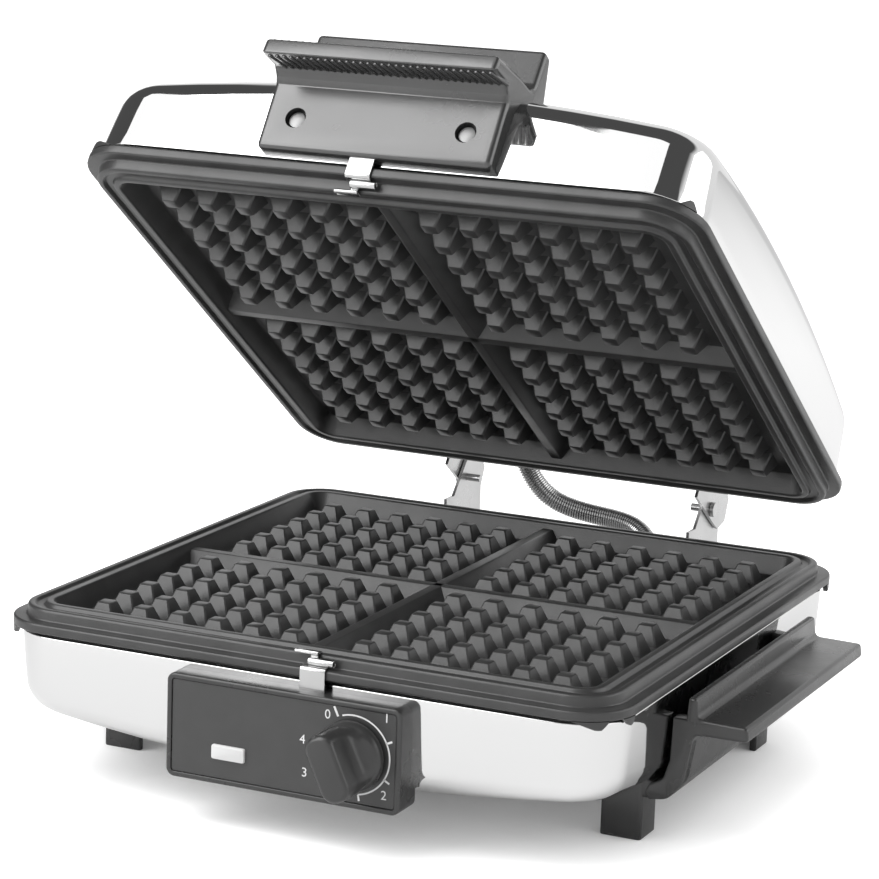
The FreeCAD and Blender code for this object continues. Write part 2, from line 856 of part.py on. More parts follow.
def make_lid_handle(lid_body):
    """Grip plate with a ribbed finger lip in front and a foot behind that carries the lid laid flat."""
    level = upper_grid_level
    front = -shell_half - grip_reach
    lip = -shell_half - grip_lip_reach
    tip = -shell_half + grip_foot_tip_back
    foot_back = -shell_half + grip_foot_back
    shoulder = lid_crown - grip_shoulder
    lip_low = lid_crown - grip_lip_bottom
    lip_top = lid_crown - grip_lip_top
    foot_top = lid_crown + grip_foot_tip
    outline = [
        (front + grip_edge, level + grip_bottom), (front, shoulder - 2 * grip_edge),
        (front - 1.5 * grip_edge, shoulder), (front - 5 * grip_edge, lip_low + grip_edge),
        (lip + 3 * grip_edge, lip_low), (lip, lip_low),
        (lip + grip_edge, lip_top), (lip + 3 * grip_edge, lip_top + grip_edge / 2),
        (-shell_half - grip_crown_reach, lid_crown - grip_crown),
        (-shell_half + grip_foot_front, lid_crown - grip_foot_level),
        (tip - 2 * grip_edge, foot_top - grip_edge), (tip, foot_top), (tip + 2 * grip_edge, foot_top - grip_edge),
        (foot_back, lid_crown - grip_foot_level), (foot_back, lid_crown - grip_foot_root),
        (-shell_half + box_setback, level + grip_bottom),
    ]
    handle = side_prism(outline, -grip_half_width, grip_half_width).cut(lid_body)
    handle = handle.cut(grip_ribs())
    slot_half = clip_strap_width / 2 + clip_slot_side
    pocket = block(
        upper_clip_x - slot_half, upper_clip_x + slot_half, -plate_half - clip_gap - clip_slot_depth, 0,
        level, level + upper_clip_drop + clip_slot_depth,
    )
    handle = handle.cut(pocket)
    z = level + grip_screw_z
    for x in (-grip_screw_x, grip_screw_x):
        handle = handle.cut(rod_along_y(grip_bore_radius, x, front - cut_past, front + grip_bore_depth, z))
        handle = handle.cut(rod_along_y(grip_screw_radius + seat_clearance, x, front, -lip_opening, z))
    return handle


def grip_ribs():
    """Rows of slanting grooves over and under the finger lip."""
    tip = -shell_half - grip_lip_reach - cut_past
    step = 2 * grip_half_width / (grip_rib_count + 1)
    high = lid_crown - grip_lip_top + grip_rib_radius
    low = lid_crown - grip_lip_bottom - grip_rib_radius / 2
    rise = 2 * grip_rib_radius
    grooves = []
    for index in range(grip_rib_count):
        x = -grip_half_width + (index + 1) * step
        upper_end = Vector(x, tip + grip_rib_length, high + rise)
        lower_end = Vector(x + rise, tip + grip_rib_length, low + grip_rib_radius)
        grooves.append(rod(grip_rib_radius, Vector(x, tip, high), upper_end))
        grooves.append(rod(grip_rib_radius, Vector(x, tip, low), lower_end))
    return grooves


def make_handle_screws():
    """Two screws that hold the grip to the lid's front wall."""
    seat = -shell_half - grip_reach + grip_bore_depth
    z = upper_grid_level + grip_screw_z
    screws = []
    for x in (-grip_screw_x, grip_screw_x):
        head = rod_along_y(grip_screw_head_radius, x, seat - grip_screw_head, seat, z)
        shank = rod_along_y(grip_screw_radius, x, seat, seat + grip_screw_length, z)
        screws.append(fused(head, [shank]))
    return Part.makeCompound(screws)


def clip_pivot(centre_x, drop):
    """Where a lower clip bends: the back edge of its foot, just off the shell's wall."""
    foot = grid_level - drop - clip_sheet
    return Vector(centre_x, -wall_face(foot + clip_sheet) - slip_clearance, foot)


def make_clip(centre_x, lean, drop):
    """Spring clip at the lower grid's front: foot, strap, curl and the bar that holds the ridge down."""
    face = -plate_half - clip_gap
    half = clip_strap_width / 2
    x0, x1 = centre_x - half, centre_x + half
    foot = grid_level - drop
    pivot = clip_pivot(centre_x, drop)
    tab_low = grid_level + clip_gap
    tab_top = tab_low + clip_sheet
    strap = block(x0, x1, face - clip_sheet, face, pivot.z, tab_top)
    base = block(x0, x1, face - clip_sheet, pivot.y, pivot.z, foot)
    tab = block(x0, x1, face, -ridge_half - 2 * clip_gap, tab_low, tab_top)
    curl_x = centre_x + lean * clip_curl_shift
    curl_y = -ridge_half - clip_gap - clip_curl_radius
    curl_z = tab_top + clip_curl_radius - clip_gap
    curl = rod_along_x(clip_curl_radius, curl_x - half, curl_x + half, curl_y, curl_z)
    bar_x = centre_x - lean * clip_bar_shift
    bar_half = clip_bar_width / 2
    bar_low = grid_level + ridge_height + seat_clearance
    bar_top = bar_low + clip_sheet
    front = -ridge_half - clip_gap - clip_sheet
    bar = block(bar_x - bar_half, bar_x + bar_half, front, -ridge_half + clip_bar_overlap, bar_low, bar_top)
    neck_edge = bar_x + lean * bar_half
    neck_span = sorted((neck_edge, neck_edge - lean * clip_neck_width))
    neck = block(*neck_span, front, front + clip_sheet, curl_z, bar_top)
    return fused(strap, [base, tab, curl, neck, bar])


def make_hook(shell_body):
    """Fixed hook at the lower grid's back, over the flange."""
    face = plate_half + clip_gap
    foot = grid_level - hook_drop
    tab_low = grid_level + clip_gap
    tab_top = tab_low + hook_sheet
    half = hook_half_width
    back = block(-half, half, face, face + hook_sheet, foot - hook_foot, tab_top)
    tab = block(-half, half, ridge_half + 2 * clip_gap, face, tab_low, tab_top)
    base = block(-half, half, shell_half - hook_foot, face, foot - hook_foot, foot)
    return fused(back, [tab, base]).cut(shell_body)


def make_bush(shell_wall, x, z, hole_radius):
    """Plastic bush in a back wall: neck through the sheet, flange outside."""
    face = wall_face(z)
    inner = face - bush_reach
    outer = face + bush_flange
    neck = rod_along_y(bush_neck_radius, x, inner, outer, z)
    flange = rod_along_y(bush_flange_radius, x, face - sheet, outer, z)
    hole = rod_along_y(hole_radius, x, inner - cut_past, outer + cut_past, z)
    return fused(neck, [flange]).cut(shell_wall).cut(hole)


def make_gland(shell_wall):
    """Strain relief where the mains cord leaves the base."""
    outer = wall_face(gland_z) + bush_flange
    tip = outer + gland_boss_length
    bush = make_bush(shell_wall, gland_x, gland_z, gland_hole_radius)
    boss_start = Vector(gland_x, outer, gland_z)
    boss_tip = gland_hole_radius + gland_boss_wall
    boss = Part.makeCone(gland_boss_radius, boss_tip, gland_boss_length, boss_start, Y_AXIS)
    hole = rod_along_y(gland_hole_radius, gland_x, outer - cut_past, tip + cut_past, gland_z)
    return fused(bush, [boss.cut(hole)])


def make_terminal_block(shell_cavity):
    """Ceramic block on the base's floor where the leads join."""
    top = pan_floor - pan_sheet - terminal_gap
    body = block(
        terminal_x - terminal_half_width, terminal_x + terminal_half_width,
        terminal_y - terminal_half_depth, terminal_y + terminal_half_depth, shell_bottom, top,
    )
    for shift in (-terminal_hole_spacing, 0, terminal_hole_spacing):
        x = terminal_x + shift
        hole = rod_along_z(terminal_hole_radius, x, terminal_y, top - terminal_hole_depth, top + cut_past)
        body = body.cut(hole)
    return body.common(shell_cavity)


def lid_place(x, y, z):
    """Where a point of the shut lid is in the rest pose."""
    angle = math.radians(lid_open_angle)
    dy, dz = y - hinge_y, z - hinge_z
    turned_y = dy * math.cos(angle) + dz * math.sin(angle)
    turned_z = dz * math.cos(angle) - dy * math.sin(angle)
    return Vector(x, hinge_y + turned_y, hinge_z + turned_z)


def conduit_route():
    """Control points of the conduit's middle line: out of the lid, behind the hinge line, into the base."""
    lid_wall = wall_face(2 * mating_level - conduit_lid_z)
    base_wall = wall_face(conduit_base_z)
    runs = [-conduit_inside, conduit_outside, conduit_outside + conduit_lead]
    lid_end = [lid_place(conduit_lid_x, lid_wall + run, conduit_lid_z) for run in runs]
    base_end = [Vector(conduit_base_x, base_wall + run, conduit_base_z) for run in reversed(runs)]
    return lid_end + [Vector(*point) for point in conduit_bends] + base_end


def smooth_line(points, steps):
    """Even points along a cubic curve of the control points, with straight runs at both ends."""
    poles = points[1:-1]
    inner_knots = len(poles) - 4
    mults = [4] + [1] * inner_knots + [4]
    curve = Part.BSplineCurve()
    curve.buildFromPolesMultsKnots(poles, mults, list(range(len(mults))), False, 3)
    first_run = Part.LineSegment(points[0], points[1]).toShape()
    last_run = Part.LineSegment(points[-2], points[-1]).toShape()
    wire = Part.Wire([first_run, curve.toShape(), last_run])
    return wire.discretize(Number=steps + 1), wire.Length


def directions_along(points):
    """Direction of travel at each point of a fine line."""
    last = len(points) - 1
    directions = []
    for index in range(last + 1):
        step = points[min(index + 1, last)] - points[max(index - 1, 0)]
        directions.append(step.normalize())
    return directions


def helix_points(centres, radius, per_turn):
    """Points round the line, a turn at a time, in frames carried along it without twist."""
    tangents = directions_along(centres)
    side = tangents[0].cross(X_AXIS).normalize()
    points = []
    for index, (centre, tangent) in enumerate(zip(centres, tangents)):
        side = (side - tangent * side.dot(tangent)).normalize()
        up = tangent.cross(side)
        angle = 2 * math.pi * index / per_turn
        points.append(centre + side * (radius * math.cos(angle)) + up * (radius * math.sin(angle)))
    return points


def biarc(start, start_direction, end, end_direction):
    """Two arcs that leave start and reach end in the given directions."""
    chord = end - start
    both = start_direction + end_direction
    square = 2 * (1 - start_direction.dot(end_direction))
    slope = chord.dot(both)
    length = (-slope + math.sqrt(slope * slope + square * chord.dot(chord))) / square
    meeting = (start + start_direction * length + end - end_direction * length) * 0.5
    first = Part.Arc(start, arc_middle(start, start_direction, meeting), meeting)
    second = Part.Arc(meeting, arc_middle(end, -end_direction, meeting), end)
    return [first.toShape(), second.toShape()]


def arc_middle(start, direction, end):
    """Middle point of the arc that leaves start in the direction and passes through end."""
    chord = end - start
    lean = direction.getAngle(chord)
    across = direction - chord * (direction.dot(chord) / chord.dot(chord))
    return (start + end) * 0.5 + across.normalize() * (chord.Length / 2 * math.tan(lean / 2))


def least_gap(points, per_turn, thickness):
    """Smallest space between one turn of the wire and any of the next three."""
    spaces = []
    for index, point in enumerate(points):
        for other in points[index + per_turn // 2:index + 3 * per_turn]:
            spaces.append(point.distanceToPoint(other) - thickness)
    return min(spaces)


def make_conduit():
    """Spring conduit: one wire wound round the route from the lid's bush to the base's."""
    fine = 24
    quarter = fine // 4
    centres, length = smooth_line(conduit_route(), conduit_turns * fine)
    points = helix_points(centres, conduit_radius - conduit_wire_radius, fine)
    gap = least_gap(points, fine, 2 * conduit_wire_radius)
    print("conduit length", round(length, 1), "least gap", round(gap, 3))
    directions = directions_along(points)
    edges = []
    for index in range(0, len(points) - 1, quarter):
        following = index + quarter
        edges += biarc(points[index], directions[index], points[following], directions[following])
    sweep = Part.BRepOffsetAPI.MakePipeShell(Part.Wire(edges))
    sweep.add(Part.Wire(Part.makeCircle(conduit_wire_radius, points[0], directions[0])))
    sweep.build()
    sweep.makeSolid()
    return sweep.shape()


def with_holes(shape, cutters):
    """Piece with every fastener's and bush's hole through it."""
    for cutter in cutters:
        shape = shape.cut(cutter)
    return shape


def back_hole(x, z):
    """Round hole for a bush's neck through the base shell's back wall."""
    face = wall_face(z)
    return rod_along_y(bush_neck_radius, x, face - bush_reach, face + bush_flange, z)


def build_base():
    """Every piece that stands still with the base, and the knob."""
    body = pressing_body(0)
    cavity = pressing_body(sheet)
    rivets = make_hinge_rivets(-1)
    screws = make_leg_screws()
    back_holes = [back_hole(gland_x, gland_z), back_hole(conduit_base_x, conduit_base_z)]
    shell = with_holes(make_shell(body), rivets + back_holes + [screws, shaft_hole(slip_clearance)])
    element = make_element()
    right_handle = make_side_handle(body)
    pieces = {
        "base_shell": shell,
        "base_pan": make_pan(),
        "lower_element": element,
        "lower_element_clips": make_element_clips(element),
        "lower_grid": make_grid(),
        "lower_clip": make_clip(lower_clip_x, 1, lower_clip_drop),
        "lower_hook": make_hook(body),
        "control_box": make_control_box(body),
        "control_fascia": make_fascia(),
        "indicator_lens": make_lens(),
        "indicator_lamp": make_lamp(),
        "thermostat": make_thermostat(),
        "thermostat_bracket": make_thermostat_bracket(cavity),
        "thermostat_shaft": make_shaft(),
        "control_knob": make_knob(),
        "side_handle_right": right_handle,
        "side_handle_left": mirrored(right_handle),
        "leg_screws": screws,
        "base_hinge_rivets": Part.makeCompound(rivets),
        "cord_gland": make_gland(shell),
        "terminal_block": make_terminal_block(cavity),
        "base_conduit_bush": make_bush(shell, conduit_base_x, conduit_base_z, bush_hole_radius),
    }
    for name, side in (("left", -1), ("right", 1)):
        pieces["base_hinge_bracket_" + name] = with_holes(make_base_hinge_bracket(side, body), rivets)
        pieces["hinge_pin_" + name] = make_hinge_pin(side)
    return pieces


def build_lid():
    """Every piece that swings with the lid, drawn shut and then swung open."""
    body = pressing_body(0)
    lid_body = turned_over(body)
    bush_z = 2 * mating_level - conduit_lid_z
    rivets = make_hinge_rivets(1)
    lid_rivets = [turned_over(rivet) for rivet in rivets]
    screws = make_handle_screws()
    drilled = with_holes(make_shell(body), rivets + [back_hole(-conduit_lid_x, bush_z)])
    element = make_element()
    pieces = {
        "lid_shell": turned_over(drilled).cut(screws),
        "lid_pan": turned_over(make_pan()),
        "upper_element": turned_over(element),
        "upper_element_clips": turned_over(make_element_clips(element)),
        "upper_grid": turned_over(make_grid()),
        "upper_clip": turned_over(make_clip(-upper_clip_x, -1, upper_clip_drop)),
        "upper_hook": turned_over(make_hook(body)),
        "lid_handle": make_lid_handle(lid_body),
        "lid_handle_screws": screws,
        "lid_hinge_rivets": Part.makeCompound(lid_rivets),
        "lid_conduit_bush": turned_over(make_bush(drilled, -conduit_lid_x, bush_z, bush_hole_radius)),
    }
    for name, side in (("left", -1), ("right", 1)):
        pieces["lid_hinge_bracket_" + name] = with_holes(make_lid_hinge_bracket(side, lid_body), lid_rivets)
    for shape in pieces.values():
        shape.rotate(Vector(0, hinge_y, hinge_z), -X_AXIS, lid_open_angle)
    return pieces


def joint_places():
    """Points on the axes that the moving pieces turn about, in the drawn place."""
    upper = clip_pivot(-upper_clip_x, upper_clip_drop)
    return {
        "lid hinge": Vector(0, hinge_y, hinge_z),
        "knob": Vector(knob_x, box_front, knob_z),
        "lower clip": clip_pivot(lower_clip_x, lower_clip_drop),
        "upper clip": lid_place(upper_clip_x, upper.y, 2 * mating_level - upper.z),
    }


def main():
    pieces = build_base()
    pieces.update(build_lid())
    pieces["spring_conduit"] = make_conduit()
    box = Part.makeCompound(list(pieces.values())).optimalBoundingBox(False, False)
    shift = Vector(-box.Center.x, -box.Center.y, -box.ZMin)
    for name, shape in pieces.items():
        shape.translate(shift)
        if not shape.isValid():
            print("not valid", name)
        shape.exportStep("parts/" + name + ".step")
    print("pieces", len(pieces))
    print("box", [round(size, 2) for size in (box.XLength, box.YLength, box.ZLength)])
    print("shift", [round(value, 3) for value in shift])
    for name, place in joint_places().items():
        print(name, [round(value, 3) for value in place + shift])


main()
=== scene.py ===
"""Double waffle maker: the dressed model over its packed frame, with studio light and the photo's camera.

Metres. Pieces are drawn with the lid shut and centred on the grids, then moved to their place in the frame.
"""
import json
import math

import bmesh
import bpy
from bpy.props import FloatProperty, FloatVectorProperty, IntProperty, PointerProperty
from bpy.types import Operator, Panel, PropertyGroup
from mathutils import Matrix, Vector


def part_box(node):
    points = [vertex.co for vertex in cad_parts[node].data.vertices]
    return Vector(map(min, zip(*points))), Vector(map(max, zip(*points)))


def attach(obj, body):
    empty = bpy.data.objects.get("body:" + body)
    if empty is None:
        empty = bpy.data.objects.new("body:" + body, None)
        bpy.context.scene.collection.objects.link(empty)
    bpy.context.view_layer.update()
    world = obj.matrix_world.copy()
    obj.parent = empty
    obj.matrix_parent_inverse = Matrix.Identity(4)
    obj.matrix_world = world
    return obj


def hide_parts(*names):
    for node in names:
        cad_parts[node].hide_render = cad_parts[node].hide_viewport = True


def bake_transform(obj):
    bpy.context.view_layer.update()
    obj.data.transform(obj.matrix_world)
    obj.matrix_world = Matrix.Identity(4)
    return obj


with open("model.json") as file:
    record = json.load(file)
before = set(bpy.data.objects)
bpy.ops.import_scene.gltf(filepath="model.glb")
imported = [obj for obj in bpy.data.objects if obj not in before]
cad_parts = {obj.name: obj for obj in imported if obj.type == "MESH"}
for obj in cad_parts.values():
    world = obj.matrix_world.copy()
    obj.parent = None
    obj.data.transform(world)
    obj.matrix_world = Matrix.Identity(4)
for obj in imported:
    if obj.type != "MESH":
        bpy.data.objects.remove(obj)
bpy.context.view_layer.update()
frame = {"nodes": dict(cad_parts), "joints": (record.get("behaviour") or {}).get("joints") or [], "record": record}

bl_info = {
    "name": "Double waffle maker",
    "version": (1, 0, 0),
    "blender": (4, 5, 0),
    "location": "View3D > Sidebar > Waffle maker",
    "description": "Builds the pieces and finishes of a double waffle maker over its packed frame",
    "category": "Object",
}

MM = 0.001
SHARP_EDGE = math.radians(32)

# Sockets of a colour mix
MIX_A, MIX_B, MIX_RESULT = 6, 7, 2


def length(label, description, millimetres):
    """Size of a piece, kept in metres."""
    return FloatProperty(
        name=label, description=description, default=millimetres * MM, unit="LENGTH", precision=5,
    )


def tint(label, description, level):
    """Neutral colour of a finish."""
    return FloatVectorProperty(
        name=label, description=description, default=(level, level, level), subtype="COLOR", min=0.0, max=1.0,
    )


class GridSizes(PropertyGroup):
    """Sizes of the two cast grids, heights measured from the middle of the teeth."""
    tooth_pitch: length("Tooth pitch", "Distance from one tooth to the next", 14.6)
    teeth_per_side: IntProperty(
        name="Teeth per side", description="Tooth rows beside a divider", default=6, min=1,
    )
    tooth_tip: length("Tooth tip", "Width of a tooth at its tip", 5.2)
    tooth_foot: length("Tooth foot", "Width of a tooth at its foot", 10.6)
    tooth_half_height: length("Tooth half height", "Half of a tooth's height", 3.4)
    divider_gap_x: length("Divider gap across", "Gap for the divider between left and right", 12.4)
    divider_gap_y: length("Divider gap along", "Gap for the divider between front and back", 13.2)
    divider_top: length("Divider top", "Width of a divider at its top", 4.0)
    divider_foot: length("Divider foot", "Width of a divider at its foot", 12.6)
    divider_height: length("Divider height", "Height of a divider over the floor", 5.6)
    well_half: length("Well half width", "Half the width of the waffle well", 101.8)
    plate_corner: length("Plate corner", "Corner radius that the ridges run parallel to", 20.0)
    flange_corner: length("Flange corner", "Corner radius of the outer flange", 19.0)
    ridge_height: length("Ridge height", "Height of the outer ridge", 4.0)
    inner_ridge_height: length("Inner ridge height", "Height of the ridge round the well", 4.4)
    flange_thickness: length("Flange thickness", "Thickness of the outer flange", 3.4)
    spacing: length("Grid spacing", "Distance between the tooth middles of the shut grids", 9.4)


class ShellSizes(PropertyGroup):
    """Sizes of the two pressed shells."""
    sheet: length("Sheet", "Thickness of the sheet", 0.8)
    overhang: length("Overhang", "How far the plate stands out over the shell", 2.2)
    depth: length("Depth", "Depth of a shell in the middle", 43.3)
    edge_radius: length("Edge radius", "Radius between wall and dome", 10.5)
    dome_radius: length("Dome radius", "Radius of the domed floor", 715.0)
    lip_width: length("Lip width", "Width of the lip turned in at the mouth", 8.0)
    draft: FloatProperty(
        name="Draft", description="Lean of the walls", default=math.radians(3.0), subtype="ANGLE",
    )


class ControlSizes(PropertyGroup):
    """Sizes of the control box, its lens and its knob."""
    half_width: length("Box half width", "Half the width of the box", 43.5)
    height: length("Box height", "Height of the box", 36.1)
    corner: length("Box corner", "Corner radius of the box", 3.0)
    frame_width: length("Frame width", "Width of the raised frame round the front plate", 1.9)
    plate_recess: length("Plate recess", "How far the front plate lies behind the frame", 0.5)
    knob_radius: length("Knob radius", "Radius of the knob's skirt", 12.0)
    knob_height: length("Knob height", "How far the knob stands out", 18.5)
    grip_width: length("Grip width", "Width of the knob's bar", 10.5)
    pointer_angle: FloatProperty(
        name="Pointer angle", description="Turn of the knob at zero",
        default=math.radians(25.0), subtype="ANGLE",
    )
    number_height: length("Number height", "Height of the numbers round the dial", 3.1)


class ConduitSizes(PropertyGroup):
    """Sizes of the spring conduit."""
    radius: length("Conduit radius", "Outer radius of the wound wire", 4.0)
    wire_radius: length("Wire radius", "Radius of the wire", 0.46)
    turns: IntProperty(name="Turns", description="Turns of the wire over the whole route", default=124, min=8)


class Finishes(PropertyGroup):
    """Colours of the main finishes."""
    chrome: tint("Chrome", "Polished shells", 0.68)
    coating: tint("Coating", "Non-stick coating of the grids", 0.040)
    plastic: tint("Plastic", "Moulded handles, box and knob", 0.036)
    plate: tint("Front plate", "Plate behind the knob", 0.045)
    print_ink: tint("Print", "Dial arc and numbers", 0.82)


class StageSettings(PropertyGroup):
    """Camera and studio."""
    lens: FloatProperty(name="Lens", description="Focal length", default=132.546, unit="CAMERA")
    azimuth: FloatProperty(
        name="Azimuth", description="Turn of the camera", default=math.radians(24.5452), subtype="ANGLE",
    )
    elevation: FloatProperty(
        name="Elevation", description="Height angle of the camera",
        default=math.radians(11.9573), subtype="ANGLE",
    )
    roll: FloatProperty(
        name="Roll", description="Lean of the camera", default=math.radians(1.9743), subtype="ANGLE",
    )
    place: FloatVectorProperty(
        name="Camera place", description="Where the camera stands, from the middle of the grids on the table",
        default=(0.46841, -1.02899, 0.35439), subtype="TRANSLATION", unit="LENGTH",
    )


SETTINGS = {
    "waffle_grid": GridSizes,
    "waffle_shell": ShellSizes,
    "waffle_control": ControlSizes,
    "waffle_conduit": ConduitSizes,
    "waffle_finishes": Finishes,
    "waffle_stage": StageSettings,
}

# Places read from the packed frame
plate_low, plate_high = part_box("lower_grid")
PLATE_HALF = (plate_high.x - plate_low.x) / 2
GRID_Y = (plate_low.y + plate_high.y) / 2
lid_hinge = next(joint for joint in frame["joints"] if joint["name"] == "lid_hinge")
HINGE = Vector(lid_hinge["pos_m"])
LID_OPEN = math.radians(-lid_hinge["range_deg"][0])
knob_joint = next(joint for joint in frame["joints"] if joint["name"] == "control_knob_turn")
KNOB_PLACE = Vector(knob_joint["pos_m"])

base_place = Matrix.Translation((0, GRID_Y, 0))
lid_swing = (
    Matrix.Translation(HINGE)
    @ Matrix.Rotation(LID_OPEN, 4, Vector((-1, 0, 0)))
    @ Matrix.Translation(-HINGE)
)
lid_place = lid_swing @ base_place
facing_front = Matrix.Rotation(math.radians(90), 4, "X")


def grid_level():
    """Height of the lower grid's tooth middles."""
    return plate_high.z - bpy.context.scene.waffle_grid.inner_ridge_height


def turned_over_place():
    """Place of a piece that is drawn as in the base and lies upside down in the open lid."""
    mating = grid_level() + bpy.context.scene.waffle_grid.spacing / 2
    over = Matrix.Translation((0, 0, 2 * mating)) @ Matrix.Rotation(math.radians(180), 4, "Y")
    return lid_place @ over


def rounded_ring(half_x, half_y, corner, z, arc_steps=8, side_steps=1):
    """Rounded rectangle at height z, counter-clockwise from above."""
    bend = []
    for side_x, side_y, start in ((1, -1, -90), (1, 1, 0), (-1, 1, 90), (-1, -1, 180)):
        centre_x = side_x * (half_x - corner)
        centre_y = side_y * (half_y - corner)
        for step in range(arc_steps + 1):
            angle = math.radians(start + 90 * step / arc_steps)
            x = centre_x + corner * math.cos(angle)
            y = centre_y + corner * math.sin(angle)
            bend.append(Vector((x, y, z)))
    ring = []
    for index, point in enumerate(bend):
        ring.append(point)
        if index % (arc_steps + 1) == arc_steps:
            following = bend[(index + 1) % len(bend)]
            for step in range(1, side_steps):
                ring.append(point.lerp(following, step / side_steps))
    return ring


def loft(bm, rings, cap_first=True, cap_last=True):
    """Skin over rings that have equally many points."""
    rows = [[bm.verts.new(point) for point in ring] for ring in rings]
    for low, high in zip(rows, rows[1:]):
        for index in range(len(low)):
            following = (index + 1) % len(low)
            bm.faces.new((low[index], low[following], high[following], high[index]))
    if cap_first:
        bm.faces.new(list(reversed(rows[0])))
    if cap_last:
        bm.faces.new(rows[-1])


def softened(points, closed, steps=4):
    """Line through the points (a, b, radius) with its corners rounded."""
    count = len(points)
    line = []
    for index, (a, b, radius) in enumerate(points):
        corner = Vector((a, b))
        if radius == 0 or (not closed and index in (0, count - 1)):
            line.append(corner)
            continue
        before = Vector(points[index - 1][:2]) - corner
        after = Vector(points[(index + 1) % count][:2]) - corner
        reach = radius / math.tan(before.angle(after) / 2)
        reach = min(reach, 0.48 * before.length, 0.48 * after.length)
        start = corner + before.normalized() * reach
        end = corner + after.normalized() * reach
        for step in range(steps + 1):
            share = step / steps
            line.append(start.lerp(corner, share).lerp(corner.lerp(end, share), share))
    return line


def drawn_in(points, distance):
    """Closed outline moved inwards, its corner radii kept parallel. The outline runs counter-clockwise."""
    count = len(points)
    moved = []
    for index, (a, b, radius) in enumerate(points):
        corner = Vector((a, b))
        behind = (corner - Vector(points[index - 1][:2])).normalized()
        ahead = (Vector(points[(index + 1) % count][:2]) - corner).normalized()
        inward = Vector((-behind.y, behind.x)) + Vector((-ahead.y, ahead.x))
        shift = inward * (distance / (1 + behind.dot(ahead)))
        convex = behind.x * ahead.y - behind.y * ahead.x > 0
        if radius > 0:
            radius = max(radius - distance, 0.01 * MM) if convex else radius + distance
        moved.append((a + shift.x, b + shift.y, radius))
    return moved


def rounded_prism(bm, outline, start, end, edge, spread, steps=3):
    """Outline drawn out from start to end with rounded rims. Spread turns (a, b, along) into a point."""
    stations = []
    for step in range(steps + 1):
        angle = math.pi / 2 * step / steps
        stations.append((edge * (1 - math.sin(angle)), start + edge * (1 - math.cos(angle))))
    for step in range(steps + 1):
        angle = math.pi / 2 * (1 - step / steps)
        stations.append((edge * (1 - math.sin(angle)), end - edge * (1 - math.cos(angle))))
    rings = []
    for inset, along in stations:
        line = softened(drawn_in(outline, inset), True)
        rings.append([spread(point.x, point.y, along) for point in line])
    loft(bm, rings)


def along_x(a, b, along):
    """Outline in the y-z plane, drawn out along X."""
    return Vector((along, a, b))


def along_y(a, b, along):
    """Outline in the x-z plane, drawn out along Y."""
    return Vector((a, along, b))


def along_z(a, b, along):
    """Outline in the x-y plane, drawn out along Z."""
    return Vector((a, b, along))


def scaled(points):
    """Points written in millimetres."""
    return [tuple(value * MM for value in point) for point in points]


def box_outline(a0, a1, b0, b1, radius):
    """Rectangle with one corner radius."""
    return [(a0, b0, radius), (a1, b0, radius), (a1, b1, radius), (a0, b1, radius)]


def ribbon(points, thickness):
    """Closed outline of a bent sheet whose middle line runs through the points (a, b, radius)."""
    count = len(points)
    left = []
    right = []
    for index, (a, b, radius) in enumerate(points):
        corner = Vector((a, b))
        behind = (corner - Vector(points[max(index - 1, 0)][:2])).normalized()
        ahead = (Vector(points[min(index + 1, count - 1)][:2]) - corner).normalized()
        if index == 0:
            behind = ahead
        if index == count - 1:
            ahead = behind
        across = Vector((-behind.y, behind.x)) + Vector((-ahead.y, ahead.x))
        shift = across * (thickness / 2 / (1 + behind.dot(ahead)))
        turn = behind.x * ahead.y - behind.y * ahead.x
        inner = max(radius - thickness / 2, 0.05 * MM)
        outer = radius + thickness / 2
        left_radius, right_radius = (inner, outer) if turn > 0 else (outer, inner)
        if index in (0, count - 1):
            left_radius = right_radius = thickness * 0.3
        left.append((a + shift.x, b + shift.y, left_radius))
        right.append((a - shift.x, b - shift.y, right_radius))
    return right + list(reversed(left))


def finished_piece(name, bm, slot, place, body, nodes):
    """Turn the mesh into an object at its place, give it its finish, and let it stand for its nodes."""
    bm.transform(place)
    bmesh.ops.remove_doubles(bm, verts=bm.verts, dist=1e-6)
    bmesh.ops.recalc_face_normals(bm, faces=bm.faces)
    mesh = bpy.data.meshes.new(name)
    bm.to_mesh(mesh)
    bm.free()
    mesh.shade_smooth()
    mesh.set_sharp_from_angle(angle=SHARP_EDGE)
    piece = bpy.data.objects.new(name, mesh)
    bpy.context.scene.collection.objects.link(piece)
    mesh.materials.append(finish(slot))
    if body:
        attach(piece, body)
    if nodes:
        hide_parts(*nodes)
    return piece


def add_node(tree, kind, inputs=None, **settings):
    """New node with some of its inputs and settings filled in."""
    made = tree.nodes.new(kind)
    for key, value in settings.items():
        setattr(made, key, value)
    for key, value in (inputs or {}).items():
        made.inputs[key].default_value = value
    return made


def group_tree(name, inputs, outputs):
    """Empty shader group with float sockets."""
    tree = bpy.data.node_groups.new(name, "ShaderNodeTree")
    for label in inputs:
        tree.interface.new_socket(name=label, in_out="INPUT", socket_type="NodeSocketFloat")
    for label in outputs:
        tree.interface.new_socket(name=label, in_out="OUTPUT", socket_type="NodeSocketFloat")
    return tree, tree.nodes.new("NodeGroupInput"), tree.nodes.new("NodeGroupOutput")


